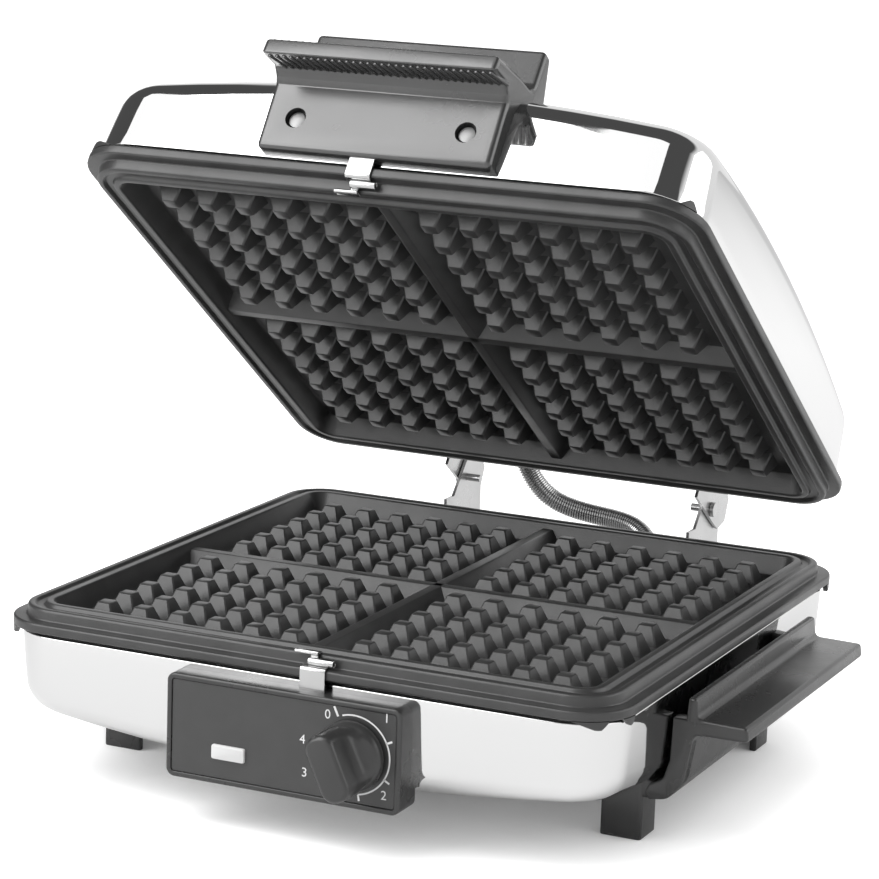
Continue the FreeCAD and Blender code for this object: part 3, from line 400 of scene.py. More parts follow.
def surface_grain():
    """Group: fine height and slow variation over a surface."""
    found = bpy.data.node_groups.get("Surface grain")
    if found:
        return found
    tree, given, result = group_tree("Surface grain", ("Scale",), ("Height", "Variation"))
    place = add_node(tree, "ShaderNodeTexCoord")
    fine = add_node(tree, "ShaderNodeTexNoise", {"Detail": 3.0, "Roughness": 0.55})
    slow = add_node(tree, "ShaderNodeTexNoise", {"Detail": 2.0})
    slower = add_node(tree, "ShaderNodeMath", {1: 0.06}, operation="MULTIPLY")
    tree.links.new(place.outputs["Object"], fine.inputs["Vector"])
    tree.links.new(place.outputs["Object"], slow.inputs["Vector"])
    tree.links.new(given.outputs["Scale"], fine.inputs["Scale"])
    tree.links.new(given.outputs["Scale"], slower.inputs[0])
    tree.links.new(slower.outputs[0], slow.inputs["Scale"])
    tree.links.new(fine.outputs[0], result.inputs["Height"])
    tree.links.new(slow.outputs[0], result.inputs["Variation"])
    return tree


def handled_sheen():
    """Group: roughness that drifts between two values, as on a wiped surface."""
    found = bpy.data.node_groups.get("Handled sheen")
    if found:
        return found
    tree, given, result = group_tree("Handled sheen", ("Scale", "Low", "High"), ("Roughness",))
    place = add_node(tree, "ShaderNodeTexCoord")
    patch = add_node(tree, "ShaderNodeTexNoise", {"Detail": 4.0, "Roughness": 0.6})
    spread = add_node(tree, "ShaderNodeMapRange", {"From Min": 0.3, "From Max": 0.7})
    tree.links.new(place.outputs["Object"], patch.inputs["Vector"])
    tree.links.new(given.outputs["Scale"], patch.inputs["Scale"])
    tree.links.new(patch.outputs[0], spread.inputs["Value"])
    tree.links.new(given.outputs["Low"], spread.inputs["To Min"])
    tree.links.new(given.outputs["High"], spread.inputs["To Max"])
    tree.links.new(spread.outputs["Result"], result.inputs["Roughness"])
    return tree


def brushed_lines():
    """Group: fine lines along X, for rolled and brushed sheet."""
    found = bpy.data.node_groups.get("Brushed lines")
    if found:
        return found
    tree, given, result = group_tree("Brushed lines", ("Scale",), ("Height",))
    place = add_node(tree, "ShaderNodeTexCoord")
    stretch = add_node(tree, "ShaderNodeMapping", {"Scale": (0.04, 1.0, 1.0)})
    lines = add_node(tree, "ShaderNodeTexNoise", {"Detail": 2.0})
    tree.links.new(place.outputs["Object"], stretch.inputs["Vector"])
    tree.links.new(stretch.outputs["Vector"], lines.inputs["Vector"])
    tree.links.new(given.outputs["Scale"], lines.inputs["Scale"])
    tree.links.new(lines.outputs[0], result.inputs["Height"])
    return tree


def settled_dust():
    """Group: a thin uneven veil on faces that look up."""
    found = bpy.data.node_groups.get("Settled dust")
    if found:
        return found
    tree, given, result = group_tree("Settled dust", ("Scale", "Amount"), ("Mask",))
    place = add_node(tree, "ShaderNodeTexCoord")
    facing = add_node(tree, "ShaderNodeNewGeometry")
    parts = add_node(tree, "ShaderNodeSeparateXYZ")
    upward = add_node(tree, "ShaderNodeMath", {1: 0.0}, operation="MAXIMUM")
    specks = add_node(tree, "ShaderNodeTexNoise", {"Detail": 5.0, "Roughness": 0.7})
    veil = add_node(tree, "ShaderNodeMath", operation="MULTIPLY")
    mask = add_node(tree, "ShaderNodeMath", operation="MULTIPLY")
    tree.links.new(place.outputs["Object"], specks.inputs["Vector"])
    tree.links.new(given.outputs["Scale"], specks.inputs["Scale"])
    tree.links.new(facing.outputs["Normal"], parts.inputs[0])
    tree.links.new(parts.outputs["Z"], upward.inputs[0])
    tree.links.new(upward.outputs[0], veil.inputs[0])
    tree.links.new(specks.outputs[0], veil.inputs[1])
    tree.links.new(veil.outputs[0], mask.inputs[0])
    tree.links.new(given.outputs["Amount"], mask.inputs[1])
    tree.links.new(mask.outputs[0], result.inputs["Mask"])
    return tree


def place_group(tree, group, inputs):
    """Group node with its own values."""
    made = tree.nodes.new("ShaderNodeGroup")
    made.node_tree = group
    for key, value in inputs.items():
        made.inputs[key].default_value = value
    return made


# Finish of each slot: colour, contrast of its variation, metal, sheen from and to, grain scale, grain depth
# and dust
FINISH_VALUES = {
    "shell_chrome": ("chrome", 0.02, 1.0, 0.03, 0.06, 60.0, 0.010, 0.0),
    "grid_coating": ("coating", 0.35, 0.0, 0.28, 0.38, 1500.0, 0.10, 0.008),
    "pan_metal": (0.72, 0.10, 1.0, 0.28, 0.42, 500.0, 0.05, 0.0),
    "element_sheath": (0.16, 0.25, 1.0, 0.42, 0.60, 900.0, 0.12, 0.0),
    "spring_steel": (0.48, 0.08, 1.0, 0.16, 0.28, 1200.0, 0.06, 0.0),
    "hinge_steel": (0.52, 0.10, 1.0, 0.22, 0.36, 1100.0, 0.08, 0.0),
    "fastener_steel": (0.22, 0.12, 1.0, 0.36, 0.48, 1300.0, 0.06, 0.0),
    "handle_plastic": ("plastic", 0.20, 0.0, 0.22, 0.32, 700.0, 0.05, 0.008),
    "grip_plastic": ("plastic", 0.20, 0.0, 0.20, 0.30, 700.0, 0.05, 0.006),
    "box_plastic": ("plastic", 0.20, 0.0, 0.24, 0.34, 700.0, 0.05, 0.006),
    "fascia_plate": ("plate", 0.15, 0.0, 0.30, 0.40, 1800.0, 0.06, 0.0),
    "knob_plastic": ("plastic", 0.20, 0.0, 0.24, 0.34, 800.0, 0.05, 0.006),
    "lens_plastic": (0.68, 0.04, 0.0, 0.10, 0.18, 900.0, 0.02, 0.0),
    "lamp_glass": (0.70, 0.05, 0.0, 0.05, 0.10, 600.0, 0.01, 0.0),
    "switch_body": (0.035, 0.20, 0.0, 0.40, 0.55, 900.0, 0.08, 0.0),
    "plated_steel": (0.60, 0.12, 1.0, 0.24, 0.38, 900.0, 0.06, 0.0),
    "bush_plastic": (0.010, 0.20, 0.0, 0.36, 0.48, 900.0, 0.06, 0.008),
    "gland_rubber": (0.010, 0.25, 0.0, 0.50, 0.66, 1200.0, 0.10, 0.008),
    "terminal_ceramic": (0.78, 0.05, 0.0, 0.26, 0.40, 700.0, 0.05, 0.0),
    "conduit_wire": (0.46, 0.12, 1.0, 0.20, 0.34, 1400.0, 0.06, 0.0),
}
BRUSHED = ("pan_metal", "spring_steel", "hinge_steel", "plated_steel")


def finish(slot):
    """Material of a slot, made on first use."""
    found = bpy.data.materials.get(slot + "_finish")
    if found:
        return found
    colour, contrast, metal, sheen_low, sheen_high, scale, depth, dust = FINISH_VALUES[slot]
    if isinstance(colour, str):
        level = getattr(bpy.context.scene.waffle_finishes, colour)[0]
    else:
        level = colour
    material = bpy.data.materials.new(slot + "_finish")
    material.use_nodes = True
    tree = material.node_tree
    shader = tree.nodes["Principled BSDF"]
    shader.inputs["Metallic"].default_value = metal
    shader.inputs["Specular IOR Level"].default_value = 1.0 if slot == "grip_plastic" else 0.5
    grain = place_group(tree, surface_grain(), {"Scale": scale})
    sheen = place_group(tree, handled_sheen(), {"Scale": 38.0, "Low": sheen_low, "High": sheen_high})
    shade = add_node(tree, "ShaderNodeMix", data_type="RGBA")
    dark = level * (1 - contrast)
    light = min(level * (1 + contrast), 1.0)
    shade.inputs[MIX_A].default_value = (dark, dark, dark, 1)
    shade.inputs[MIX_B].default_value = (light, light, light, 1)
    tree.links.new(grain.outputs["Variation"], shade.inputs[0])
    colour_out = shade.outputs[MIX_RESULT]
    if dust:
        veil = place_group(tree, settled_dust(), {"Scale": 220.0, "Amount": dust})
        dusted = add_node(tree, "ShaderNodeMix", data_type="RGBA")
        dusted.inputs[MIX_B].default_value = (0.35, 0.35, 0.35, 1)
        tree.links.new(veil.outputs["Mask"], dusted.inputs[0])
        tree.links.new(colour_out, dusted.inputs[MIX_A])
        colour_out = dusted.outputs[MIX_RESULT]
    tree.links.new(colour_out, shader.inputs["Base Color"])
    tree.links.new(sheen.outputs["Roughness"], shader.inputs["Roughness"])
    bump = add_node(tree, "ShaderNodeBump", {"Strength": depth, "Distance": 0.4 * MM})
    height_out = grain.outputs["Height"]
    if slot in BRUSHED:
        lines = place_group(tree, brushed_lines(), {"Scale": scale})
        height_out = lines.outputs["Height"]
    tree.links.new(height_out, bump.inputs["Height"])
    tree.links.new(bump.outputs["Normal"], shader.inputs["Normal"])
    return material


def print_finish():
    """Matt white ink of the dial."""
    found = bpy.data.materials.get("dial_print_finish")
    if found:
        return found
    material = bpy.data.materials.new("dial_print_finish")
    material.use_nodes = True
    tree = material.node_tree
    shader = tree.nodes["Principled BSDF"]
    level = bpy.context.scene.waffle_finishes.print_ink[0]
    grain = place_group(tree, surface_grain(), {"Scale": 2500.0})
    shade = add_node(tree, "ShaderNodeMix", data_type="RGBA")
    shade.inputs[MIX_A].default_value = (level * 0.86, level * 0.86, level * 0.86, 1)
    shade.inputs[MIX_B].default_value = (level, level, level, 1)
    tree.links.new(grain.outputs["Height"], shade.inputs[0])
    tree.links.new(shade.outputs[MIX_RESULT], shader.inputs["Base Color"])
    shader.inputs["Roughness"].default_value = 0.5
    return material


def repeat_tree(name, inputs):
    """Empty geometry nodes tree that takes a shape, the inputs (label, kind) and a material."""
    tree = bpy.data.node_groups.new(name, "GeometryNodeTree")
    for label, kind in (("Shape", "Geometry"), *inputs, ("Material", "Material")):
        tree.interface.new_socket(name=label, in_out="INPUT", socket_type="NodeSocket" + kind)
    tree.interface.new_socket(name="Shape", in_out="OUTPUT", socket_type="NodeSocketGeometry")
    return tree, tree.nodes.new("NodeGroupInput"), tree.nodes.new("NodeGroupOutput")


def copies_on_points(tree, points, given, result):
    """Put the tree's shape on the points, make the copies real and give them the tree's material."""
    copies = tree.nodes.new("GeometryNodeInstanceOnPoints")
    real = tree.nodes.new("GeometryNodeRealizeInstances")
    dressed = tree.nodes.new("GeometryNodeSetMaterial")
    tree.links.new(points, copies.inputs["Points"])
    tree.links.new(given.outputs["Shape"], copies.inputs["Instance"])
    tree.links.new(copies.outputs[0], real.inputs[0])
    tree.links.new(real.outputs[0], dressed.inputs["Geometry"])
    tree.links.new(given.outputs["Material"], dressed.inputs["Material"])
    tree.links.new(dressed.outputs[0], result.inputs[0])


def repeat_on_grid():
    """Geometry nodes: copies of a shape on a square field, parted by a gap in the middle of each side."""
    found = bpy.data.node_groups.get("Repeat on grid")
    if found:
        return found
    tree, given, result = repeat_tree("Repeat on grid", (
        ("Rows X", "Int"), ("Rows Y", "Int"), ("Pitch X", "Float"), ("Pitch Y", "Float"),
        ("Gap X", "Float"), ("Gap Y", "Float"),
    ))
    field = tree.nodes.new("GeometryNodeMeshGrid")
    here = tree.nodes.new("GeometryNodeInputPosition")
    parts = tree.nodes.new("ShaderNodeSeparateXYZ")
    shift = tree.nodes.new("ShaderNodeCombineXYZ")
    parted = tree.nodes.new("GeometryNodeSetPosition")
    tree.links.new(here.outputs[0], parts.inputs[0])
    for axis in ("X", "Y"):
        steps = add_node(tree, "ShaderNodeMath", {1: 1.0}, operation="SUBTRACT")
        size = add_node(tree, "ShaderNodeMath", operation="MULTIPLY")
        side = add_node(tree, "ShaderNodeMath", operation="SIGN")
        half = add_node(tree, "ShaderNodeMath", {1: 0.5}, operation="MULTIPLY")
        push = add_node(tree, "ShaderNodeMath", operation="MULTIPLY")
        tree.links.new(given.outputs["Rows " + axis], steps.inputs[0])
        tree.links.new(steps.outputs[0], size.inputs[0])
        tree.links.new(given.outputs["Pitch " + axis], size.inputs[1])
        tree.links.new(size.outputs[0], field.inputs["Size " + axis])
        tree.links.new(given.outputs["Rows " + axis], field.inputs["Vertices " + axis])
        tree.links.new(parts.outputs[axis], side.inputs[0])
        tree.links.new(given.outputs["Gap " + axis], half.inputs[0])
        tree.links.new(side.outputs[0], push.inputs[0])
        tree.links.new(half.outputs[0], push.inputs[1])
        tree.links.new(push.outputs[0], shift.inputs[axis])
    tree.links.new(field.outputs["Mesh"], parted.inputs["Geometry"])
    tree.links.new(shift.outputs[0], parted.inputs["Offset"])
    copies_on_points(tree, parted.outputs[0], given, result)
    return tree


def repeat_on_line():
    """Geometry nodes: copies of a shape along a straight line."""
    found = bpy.data.node_groups.get("Repeat on line")
    if found:
        return found
    tree, given, result = repeat_tree("Repeat on line", (
        ("Count", "Int"), ("Start", "Vector"), ("Step", "Vector"),
    ))
    row = tree.nodes.new("GeometryNodeMeshLine")
    tree.links.new(given.outputs["Count"], row.inputs["Count"])
    tree.links.new(given.outputs["Start"], row.inputs["Start Location"])
    tree.links.new(given.outputs["Step"], row.inputs["Offset"])
    copies_on_points(tree, row.outputs["Mesh"], given, result)
    return tree


def repeated(shape, tree, values):
    """Plain mesh of a shape repeated by a geometry nodes tree."""
    mesh = bpy.data.meshes.new("repeated_shape")
    bmesh.ops.recalc_face_normals(shape, faces=shape.faces)
    shape.to_mesh(mesh)
    shape.free()
    carrier = bpy.data.objects.new("repeated_shape", mesh)
    bpy.context.scene.collection.objects.link(carrier)
    modifier = carrier.modifiers.new("Repeat", "NODES")
    modifier.node_group = tree
    for item in tree.interface.items_tree:
        if item.in_out == "INPUT" and item.name in values:
            modifier[item.identifier] = values[item.name]
    evaluated = carrier.evaluated_get(bpy.context.evaluated_depsgraph_get())
    result = bpy.data.meshes.new_from_object(evaluated)
    bpy.data.objects.remove(carrier)
    bpy.data.meshes.remove(mesh)
    return result


def take_in(bm, mesh, place=None):
    """Add a plain mesh to the piece that is being made."""
    if place is not None:
        mesh.transform(place)
    bm.from_mesh(mesh)
    bpy.data.meshes.remove(mesh)


def join_in(bm, part):
    """Add a part that was drawn on its own to the piece that is being made."""
    mesh = bpy.data.meshes.new("part")
    part.to_mesh(mesh)
    part.free()
    take_in(bm, mesh)


def square_ring(half, z, reference_half, reference_corner, side_steps):
    """Rounded square ring, parallel to the reference square."""
    corner = max(reference_corner - (reference_half - half), 1.2 * MM)
    return rounded_ring(half, half, min(corner, half), z, 10, side_steps)


def bowl_line(sizes, inset, half_at_rim, rim):
    """Meridian of a pressed bowl as (half width, height), with its dome's centre and radius."""
    lean = sizes.draft
    bottom = rim - sizes.depth
    centre = bottom + sizes.dome_radius
    dome = sizes.dome_radius - inset
    edge = sizes.edge_radius - inset
    level = bottom + edge
    for _ in range(12):
        wall = half_at_rim - inset / math.cos(lean) - (rim - level) * math.tan(lean)
        reach = wall - edge / math.cos(lean)
        level = centre - math.sqrt((dome - edge) ** 2 - reach ** 2)
    end = math.atan2(level - centre, reach)
    tangent = reach + edge * math.cos(end)
    line = []
    for share in (0.02, 0.2, 0.4, 0.6, 0.8, 0.93):
        half = tangent * share
        line.append((half, centre - math.sqrt(dome ** 2 - half ** 2)))
    for step in range(11):
        angle = end + (-lean - end) * step / 10
        line.append((reach + edge * math.cos(angle), level + edge * math.sin(angle)))
    return line, centre, dome


def bowl_rings(sizes, inset, half_at_rim, rim, corner):
    """Rings of a bowl's skin, its floor and edge following the dome into the corners."""
    line, centre, dome = bowl_line(sizes, inset, half_at_rim, rim)
    rings = []
    for half, z in line:
        ring = square_ring(half, z, half_at_rim, corner, 12)
        flat = centre - math.sqrt(dome ** 2 - half ** 2)
        for point in ring:
            point.z += centre - math.sqrt(dome ** 2 - point.x ** 2 - point.y ** 2) - flat
        rings.append(ring)
    half, z = line[-1]
    share = (rim - z) / 3
    middle = square_ring(half + share * math.tan(sizes.draft), z + share, half_at_rim, corner, 12)
    for point, low in zip(middle, rings[-1]):
        point.z += (low.z - z) * 0.5
    rings.append(middle)
    return rings


def shell_mesh(bm):
    """Closed sheet of a pressed shell as it stands in the base."""
    sizes = bpy.context.scene.waffle_shell
    grid = bpy.context.scene.waffle_grid
    rim = grid_level() - grid.flange_thickness - 1.5 * MM
    half = PLATE_HALF - sizes.overhang
    corner = grid.plate_corner
    sheet = sizes.sheet
    drop = 5 * MM
    lean = math.tan(sizes.draft)
    mouth = half - sizes.lip_width
    turned_in = softened([
        (half - drop * lean, rim - drop, 0), (half, rim, 0.6 * MM), (mouth, rim, 0.3 * MM),
        (mouth, rim - sheet, 0.3 * MM), (half - sheet, rim - sheet, 0.7 * MM),
        (half - sheet - drop * lean, rim - drop, 0),
    ], False, 5)
    rings = bowl_rings(sizes, 0, half, rim, corner)
    rings += [square_ring(point.x, point.y, half, corner, 12) for point in turned_in]
    rings += reversed(bowl_rings(sizes, sheet, half, rim, corner))
    loft(bm, rings)


class WAFFLE_OT_shells(Operator):
    """Make the two pressed shells"""
    bl_idname = "waffle.shells"
    bl_label = "Pressed shells"

    def execute(self, context):
        for name, body, place in (
            ("base_shell", "base", base_place), ("lid_shell", "lid", turned_over_place()),
        ):
            bm = bmesh.new()
            shell_mesh(bm)
            finished_piece(name + "_skin", bm, "shell_chrome", place, body, (name,))
        return {"FINISHED"}


def tooth_shape(sizes):
    """One tapered tooth with narrow chamfers, its foot let into the floor."""
    bm = bmesh.new()
    foot = sizes.tooth_foot / 2
    tip = sizes.tooth_tip / 2
    high = sizes.tooth_half_height
    drop = 0.25 * MM
    edge = tip + drop * (foot - tip) / (2 * high)
    inner = edge - 0.38 * MM
    rings = [
        rounded_ring(foot, foot, 0.5 * MM, -high - 0.1 * MM, 1),
        rounded_ring(edge, edge, 0.5 * MM, high - drop, 1),
        rounded_ring(inner, inner, 0.4 * MM, high, 1),
    ]
    loft(bm, rings, cap_first=False)
    return bm


def corner_lug(bm, side_x, side_y, first, peak, last, corner, top):
    """Lug under the flange along the corner's arc: a long slope to its peak and a short one back."""
    steps = 10
    rings = []
    reach = PLATE_HALF - corner
    for step in range(steps + 1):
        degrees = first + (last - first) * step / steps
        slope = min((degrees - first) / (peak - first), (last - degrees) / (last - peak))
        drop = 2.8 * MM * min(1.0, 1.25 * slope) + 0.1 * MM
        angle = math.radians(degrees)
        direction = Vector((side_x * math.cos(angle), side_y * math.sin(angle), 0))
        centre = Vector((side_x * reach, side_y * reach, top))
        inner = centre + direction * (corner - 1.9 * MM)
        outer = centre + direction * (corner - 0.15 * MM)
        down = Vector((0, 0, -drop))
        rings.append([inner, outer, outer + down * 0.85, outer.lerp(inner, 0.2) + down, inner + down])
    loft(bm, rings)


def grid_mesh(bm):
    """Reversible cast grid as it lies in the base: plate with ridges and gutter, dividers, teeth and lugs."""
    sizes = bpy.context.scene.waffle_grid
    level = grid_level()
    well = sizes.well_half
    thick = sizes.flange_thickness
    low = -sizes.tooth_half_height
    rim = sizes.ridge_height
    ridge = sizes.inner_ridge_height
    gutter = 2.9 * MM
    profile = softened([
        (1 * MM, -8 * MM, 0), (103.1 * MM, -8 * MM, 1.2 * MM), (103.1 * MM, -thick - 1.5 * MM, 0.4 * MM),
        (109 * MM, -thick - 1.5 * MM, 0.6 * MM), (109 * MM, -thick, 0.3 * MM), (PLATE_HALF, -thick, 0.8 * MM),
        (PLATE_HALF, 0, 0.9 * MM), (well + 9.2 * MM, 0, 0.7 * MM), (well + 8.8 * MM, rim, 1.1 * MM),
        (well + 6.6 * MM, rim, 1.0 * MM), (well + 5.6 * MM, gutter, 0.8 * MM),
        (well + 3.2 * MM, gutter, 0.8 * MM), (well + 2.5 * MM, ridge, 0.9 * MM),
        (well + 0.1 * MM, ridge, 1.0 * MM), (well - 3.3 * MM, low, 1.2 * MM), (well - 12 * MM, low, 0),
    ], False, 4)
    rings = []
    for point in profile:
        corner = sizes.flange_corner if point.x > well + 10 * MM else sizes.plate_corner
        rings.append(square_ring(point.x, level + point.y, PLATE_HALF, corner, 1))
    loft(bm, rings)
    foot = sizes.divider_foot / 2
    top = sizes.divider_top / 2
    high = level + low + sizes.divider_height
    outline = [
        (-foot, level + low - 0.2 * MM, 0), (foot, level + low - 0.2 * MM, 0),
        (top, high, 0.8 * MM), (-top, high, 0.8 * MM),
    ]
    reach = well - 1.2 * MM
    rounded_prism(bm, outline, -reach, reach, 0.05 * MM, along_x)
    rounded_prism(bm, outline, -reach, reach, 0.05 * MM, along_y)
    rows = 2 * sizes.teeth_per_side
    teeth = repeated(tooth_shape(sizes), repeat_on_grid(), {
        "Rows X": rows, "Rows Y": rows, "Pitch X": sizes.tooth_pitch, "Pitch Y": sizes.tooth_pitch,
        "Gap X": sizes.divider_gap_x, "Gap Y": sizes.divider_gap_y, "Material": finish("grid_coating"),
    })
    take_in(bm, teeth, Matrix.Translation((0, 0, level)))
    for side_x, first, peak, last in ((1, 78, 48, 40), (1, 22, 8, 2), (-1, 50, 36, 28)):
        for side_y in (-1, 1):
            corner_lug(bm, side_x, side_y, first, peak, last, sizes.flange_corner, level - thick)


class WAFFLE_OT_grids(Operator):
    """Make the two cast waffle grids"""
    bl_idname = "waffle.grids"
    bl_label = "Waffle grids"

    def execute(self, context):
        for name, body, place in (
            ("lower_grid", "base", base_place), ("upper_grid", "lid", turned_over_place()),
        ):
            bm = bmesh.new()
            grid_mesh(bm)
            finished_piece(name + "_casting", bm, "grid_coating", place, body, (name,))
        return {"FINISHED"}


def front_rings(stations, arc_steps=6, side_steps=1):
    """Rings of a piece that looks forward: (half width, half height, corner, how far forward)."""
    return [rounded_ring(a, b, corner, depth, arc_steps, side_steps) for a, b, corner, depth in stations]


def round_station(radius, depth):
    """Station of a round piece that looks forward."""
    return (radius, radius, radius, depth)


def dial_arc(bm, radius, width, first, last, depth):
    """Thin curved band round the knob's axis."""
    steps = 48
    inner = []
    outer = []
    for step in range(steps + 1):
        angle = math.radians(first + (last - first) * step / steps)
        direction = Vector((math.cos(angle), math.sin(angle), 0))
        inner.append(direction * (radius - width / 2))
        outer.append(direction * (radius + width / 2))
    up = Vector((0, 0, depth))
    rings = []
    for near, far in zip(inner, outer):
        rings.append([near, far, far + up, near + up])
    loft(bm, rings)


def dial_tick(bm, angle, first, last, width, depth):
    """Short line that points at the knob's axis."""
    outline = box_outline(first, last, -width / 2, width / 2, 0)
    part = bmesh.new()
    rounded_prism(part, outline, 0, depth, 0.002 * MM, along_z, 1)
    part.transform(Matrix.Rotation(math.radians(angle), 4, "Z"))
    join_in(bm, part)


def dial_number(bm, text, x, y, height, depth):
    """Plain number as a thin flat mesh."""
    curve = bpy.data.curves.new("dial_number", "FONT")
    curve.body = text
    curve.size = height / 0.7
    curve.align_x = "CENTER"
    curve.align_y = "CENTER"
    curve.extrude = depth / 2
    carrier = bpy.data.objects.new("dial_number", curve)
    bpy.context.scene.collection.objects.link(carrier)
    evaluated = carrier.evaluated_get(bpy.context.evaluated_depsgraph_get())
    mesh = bpy.data.meshes.new_from_object(evaluated)
    bpy.data.objects.remove(carrier)
    bpy.data.curves.remove(curve)
    take_in(bm, mesh, Matrix.Translation((x, y, depth / 2)))


# Plain numbers of the dial, millimetres to the right of the knob's axis and up from it
NUMBER_PLACES = (
    ("0", -9.5, 12.2), ("1", 11.9, 14.1), ("2", 11.6, -12.1), ("3", -17.5, -9.0), ("4", -18.5, 2.2),
)


class WAFFLE_OT_control_box(Operator):
    """Make the control box with its front plate, dial print and lens"""
    bl_idname = "waffle.control_box"
    bl_label = "Control box"

    def execute(self, context):
        sizes = context.scene.waffle_control
        box_low, box_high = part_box("control_box")
        front = -box_low.y
        middle = Vector((0, 0, (box_low.z + box_high.z) / 2))
        half = sizes.half_width
        high = sizes.height / 2
        corner = sizes.corner
        rim = sizes.frame_width
        floor = front - 0.9 * MM
        place = Matrix.Translation(middle) @ facing_front
        profile = softened([
            (0, front - 12 * MM, 0), (0, front, 1.0 * MM), (rim, front, 0.35 * MM), (rim, floor, 0),
        ], False)
        stations = [
            (half - point.x, high - point.x, max(corner - point.x, 0.8 * MM), point.y) for point in profile
        ]
        bm = bmesh.new()
        loft(bm, front_rings(stations))
        finished_piece("control_box_moulding", bm, "box_plastic", place, "base", ("control_box",))

        plate_front = front - sizes.plate_recess
        inset = rim + 0.15 * MM
        bm = bmesh.new()
        loft(bm, front_rings([
            (half - inset, high - inset, 1.0 * MM, floor - 0.3 * MM),
            (half - inset, high - inset, 1.0 * MM, plate_front - 0.1 * MM),
            (half - inset - 0.1 * MM, high - inset - 0.1 * MM, 0.9 * MM, plate_front),
        ]))
        finished_piece("front_plate", bm, "fascia_plate", place, "base", ("control_fascia",))

        lens_low, lens_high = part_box("indicator_lens")
        lens_middle = (lens_low + lens_high) / 2
        wide = (lens_high.x - lens_low.x) / 2
        tall = (lens_high.z - lens_low.z) / 2
        lens_front = -lens_low.y
        bm = bmesh.new()
        loft(bm, front_rings([
            (wide, tall, 0.7 * MM, lens_front - 3.4 * MM), (wide, tall, 0.7 * MM, lens_front - 0.45 * MM),
            (wide - 0.12 * MM, tall - 0.12 * MM, 0.7 * MM, lens_front - 0.15 * MM),
            (wide - 0.5 * MM, tall - 0.5 * MM, 0.5 * MM, lens_front),
        ]))
        lens_place = Matrix.Translation((lens_middle.x, 0, lens_middle.z)) @ facing_front
        finished_piece("lens_block", bm, "lens_plastic", lens_place, "base", ("indicator_lens",))

        depth = 0.04 * MM
        bm = bmesh.new()
        dial_arc(bm, 13.4 * MM, 0.55 * MM, 108, -80, depth)
        dial_tick(bm, 115, 13.4 * MM, 17.0 * MM, 0.8 * MM, depth)
        for angle in (25, -30, -80):
            dial_tick(bm, angle, 13.4 * MM, 15.6 * MM, 0.7 * MM, depth)
        for text, x, y in NUMBER_PLACES:
            dial_number(bm, text, x * MM, y * MM, sizes.number_height, depth)
        dial_place = Matrix.Translation((KNOB_PLACE.x, -plate_front, KNOB_PLACE.z)) @ facing_front
        printed = finished_piece("dial_print", bm, "fascia_plate", dial_place, "base", ())
        printed.data.materials.clear()
        printed.data.materials.append(print_finish())
        return {"FINISHED"}


class WAFFLE_OT_knob(Operator):
    """Make the control knob"""
    bl_idname = "waffle.knob"
    bl_label = "Control knob"

    def execute(self, context):
        sizes = context.scene.waffle_control
        skirt = sizes.knob_radius
        bar = sizes.grip_width / 2
        reach = skirt - 0.5 * MM
        top = sizes.knob_height
        stations = [
            round_station(skirt - 0.3 * MM, 0), round_station(skirt, 0.3 * MM),
            round_station(skirt, 1.5 * MM), round_station(skirt - 0.3 * MM, 2.4 * MM),
            round_station(skirt - 0.9 * MM, 3.3 * MM),
            (skirt - 1.6 * MM, skirt - 1.2 * MM, skirt - 1.6 * MM, 3.9 * MM),
            (skirt - 3.0 * MM, reach - 0.4 * MM, skirt - 3.0 * MM, 4.5 * MM),
            (bar + 1.6 * MM, reach - 0.2 * MM, bar + 1.5 * MM, 5.9 * MM),
            (bar + 0.6 * MM, reach, bar + 0.3 * MM, 8.0 * MM),
            (bar + 0.1 * MM, reach, bar - 0.5 * MM, 11.0 * MM), (bar, reach, bar - 0.6 * MM, top - 1.9 * MM),
            (bar - 0.25 * MM, reach - 0.25 * MM, bar - 0.8 * MM, top - 0.9 * MM),
            (bar - 0.9 * MM, reach - 0.9 * MM, bar - 1.3 * MM, top - 0.2 * MM),
            (bar - 1.6 * MM, reach - 1.6 * MM, bar - 1.9 * MM, top),
        ]
        bm = bmesh.new()
        loft(bm, front_rings(stations, 10, 2))
        pointer = box_outline(-0.9 * MM, 0.9 * MM, reach - 3.4 * MM, reach + 0.2 * MM, 0.5 * MM)
        rounded_prism(bm, pointer, 6 * MM, top - 0.4 * MM, 0.35 * MM, along_z)
        place = Matrix.Translation(KNOB_PLACE) @ facing_front @ Matrix.Rotation(sizes.pointer_angle, 4, "Z")
        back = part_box("control_knob")[1].y
        place = Matrix.Translation((0, back - KNOB_PLACE.y, 0)) @ place
        finished_piece("knob_moulding", bm, "knob_plastic", place, "knob", ("control_knob",))
        return {"FINISHED"}


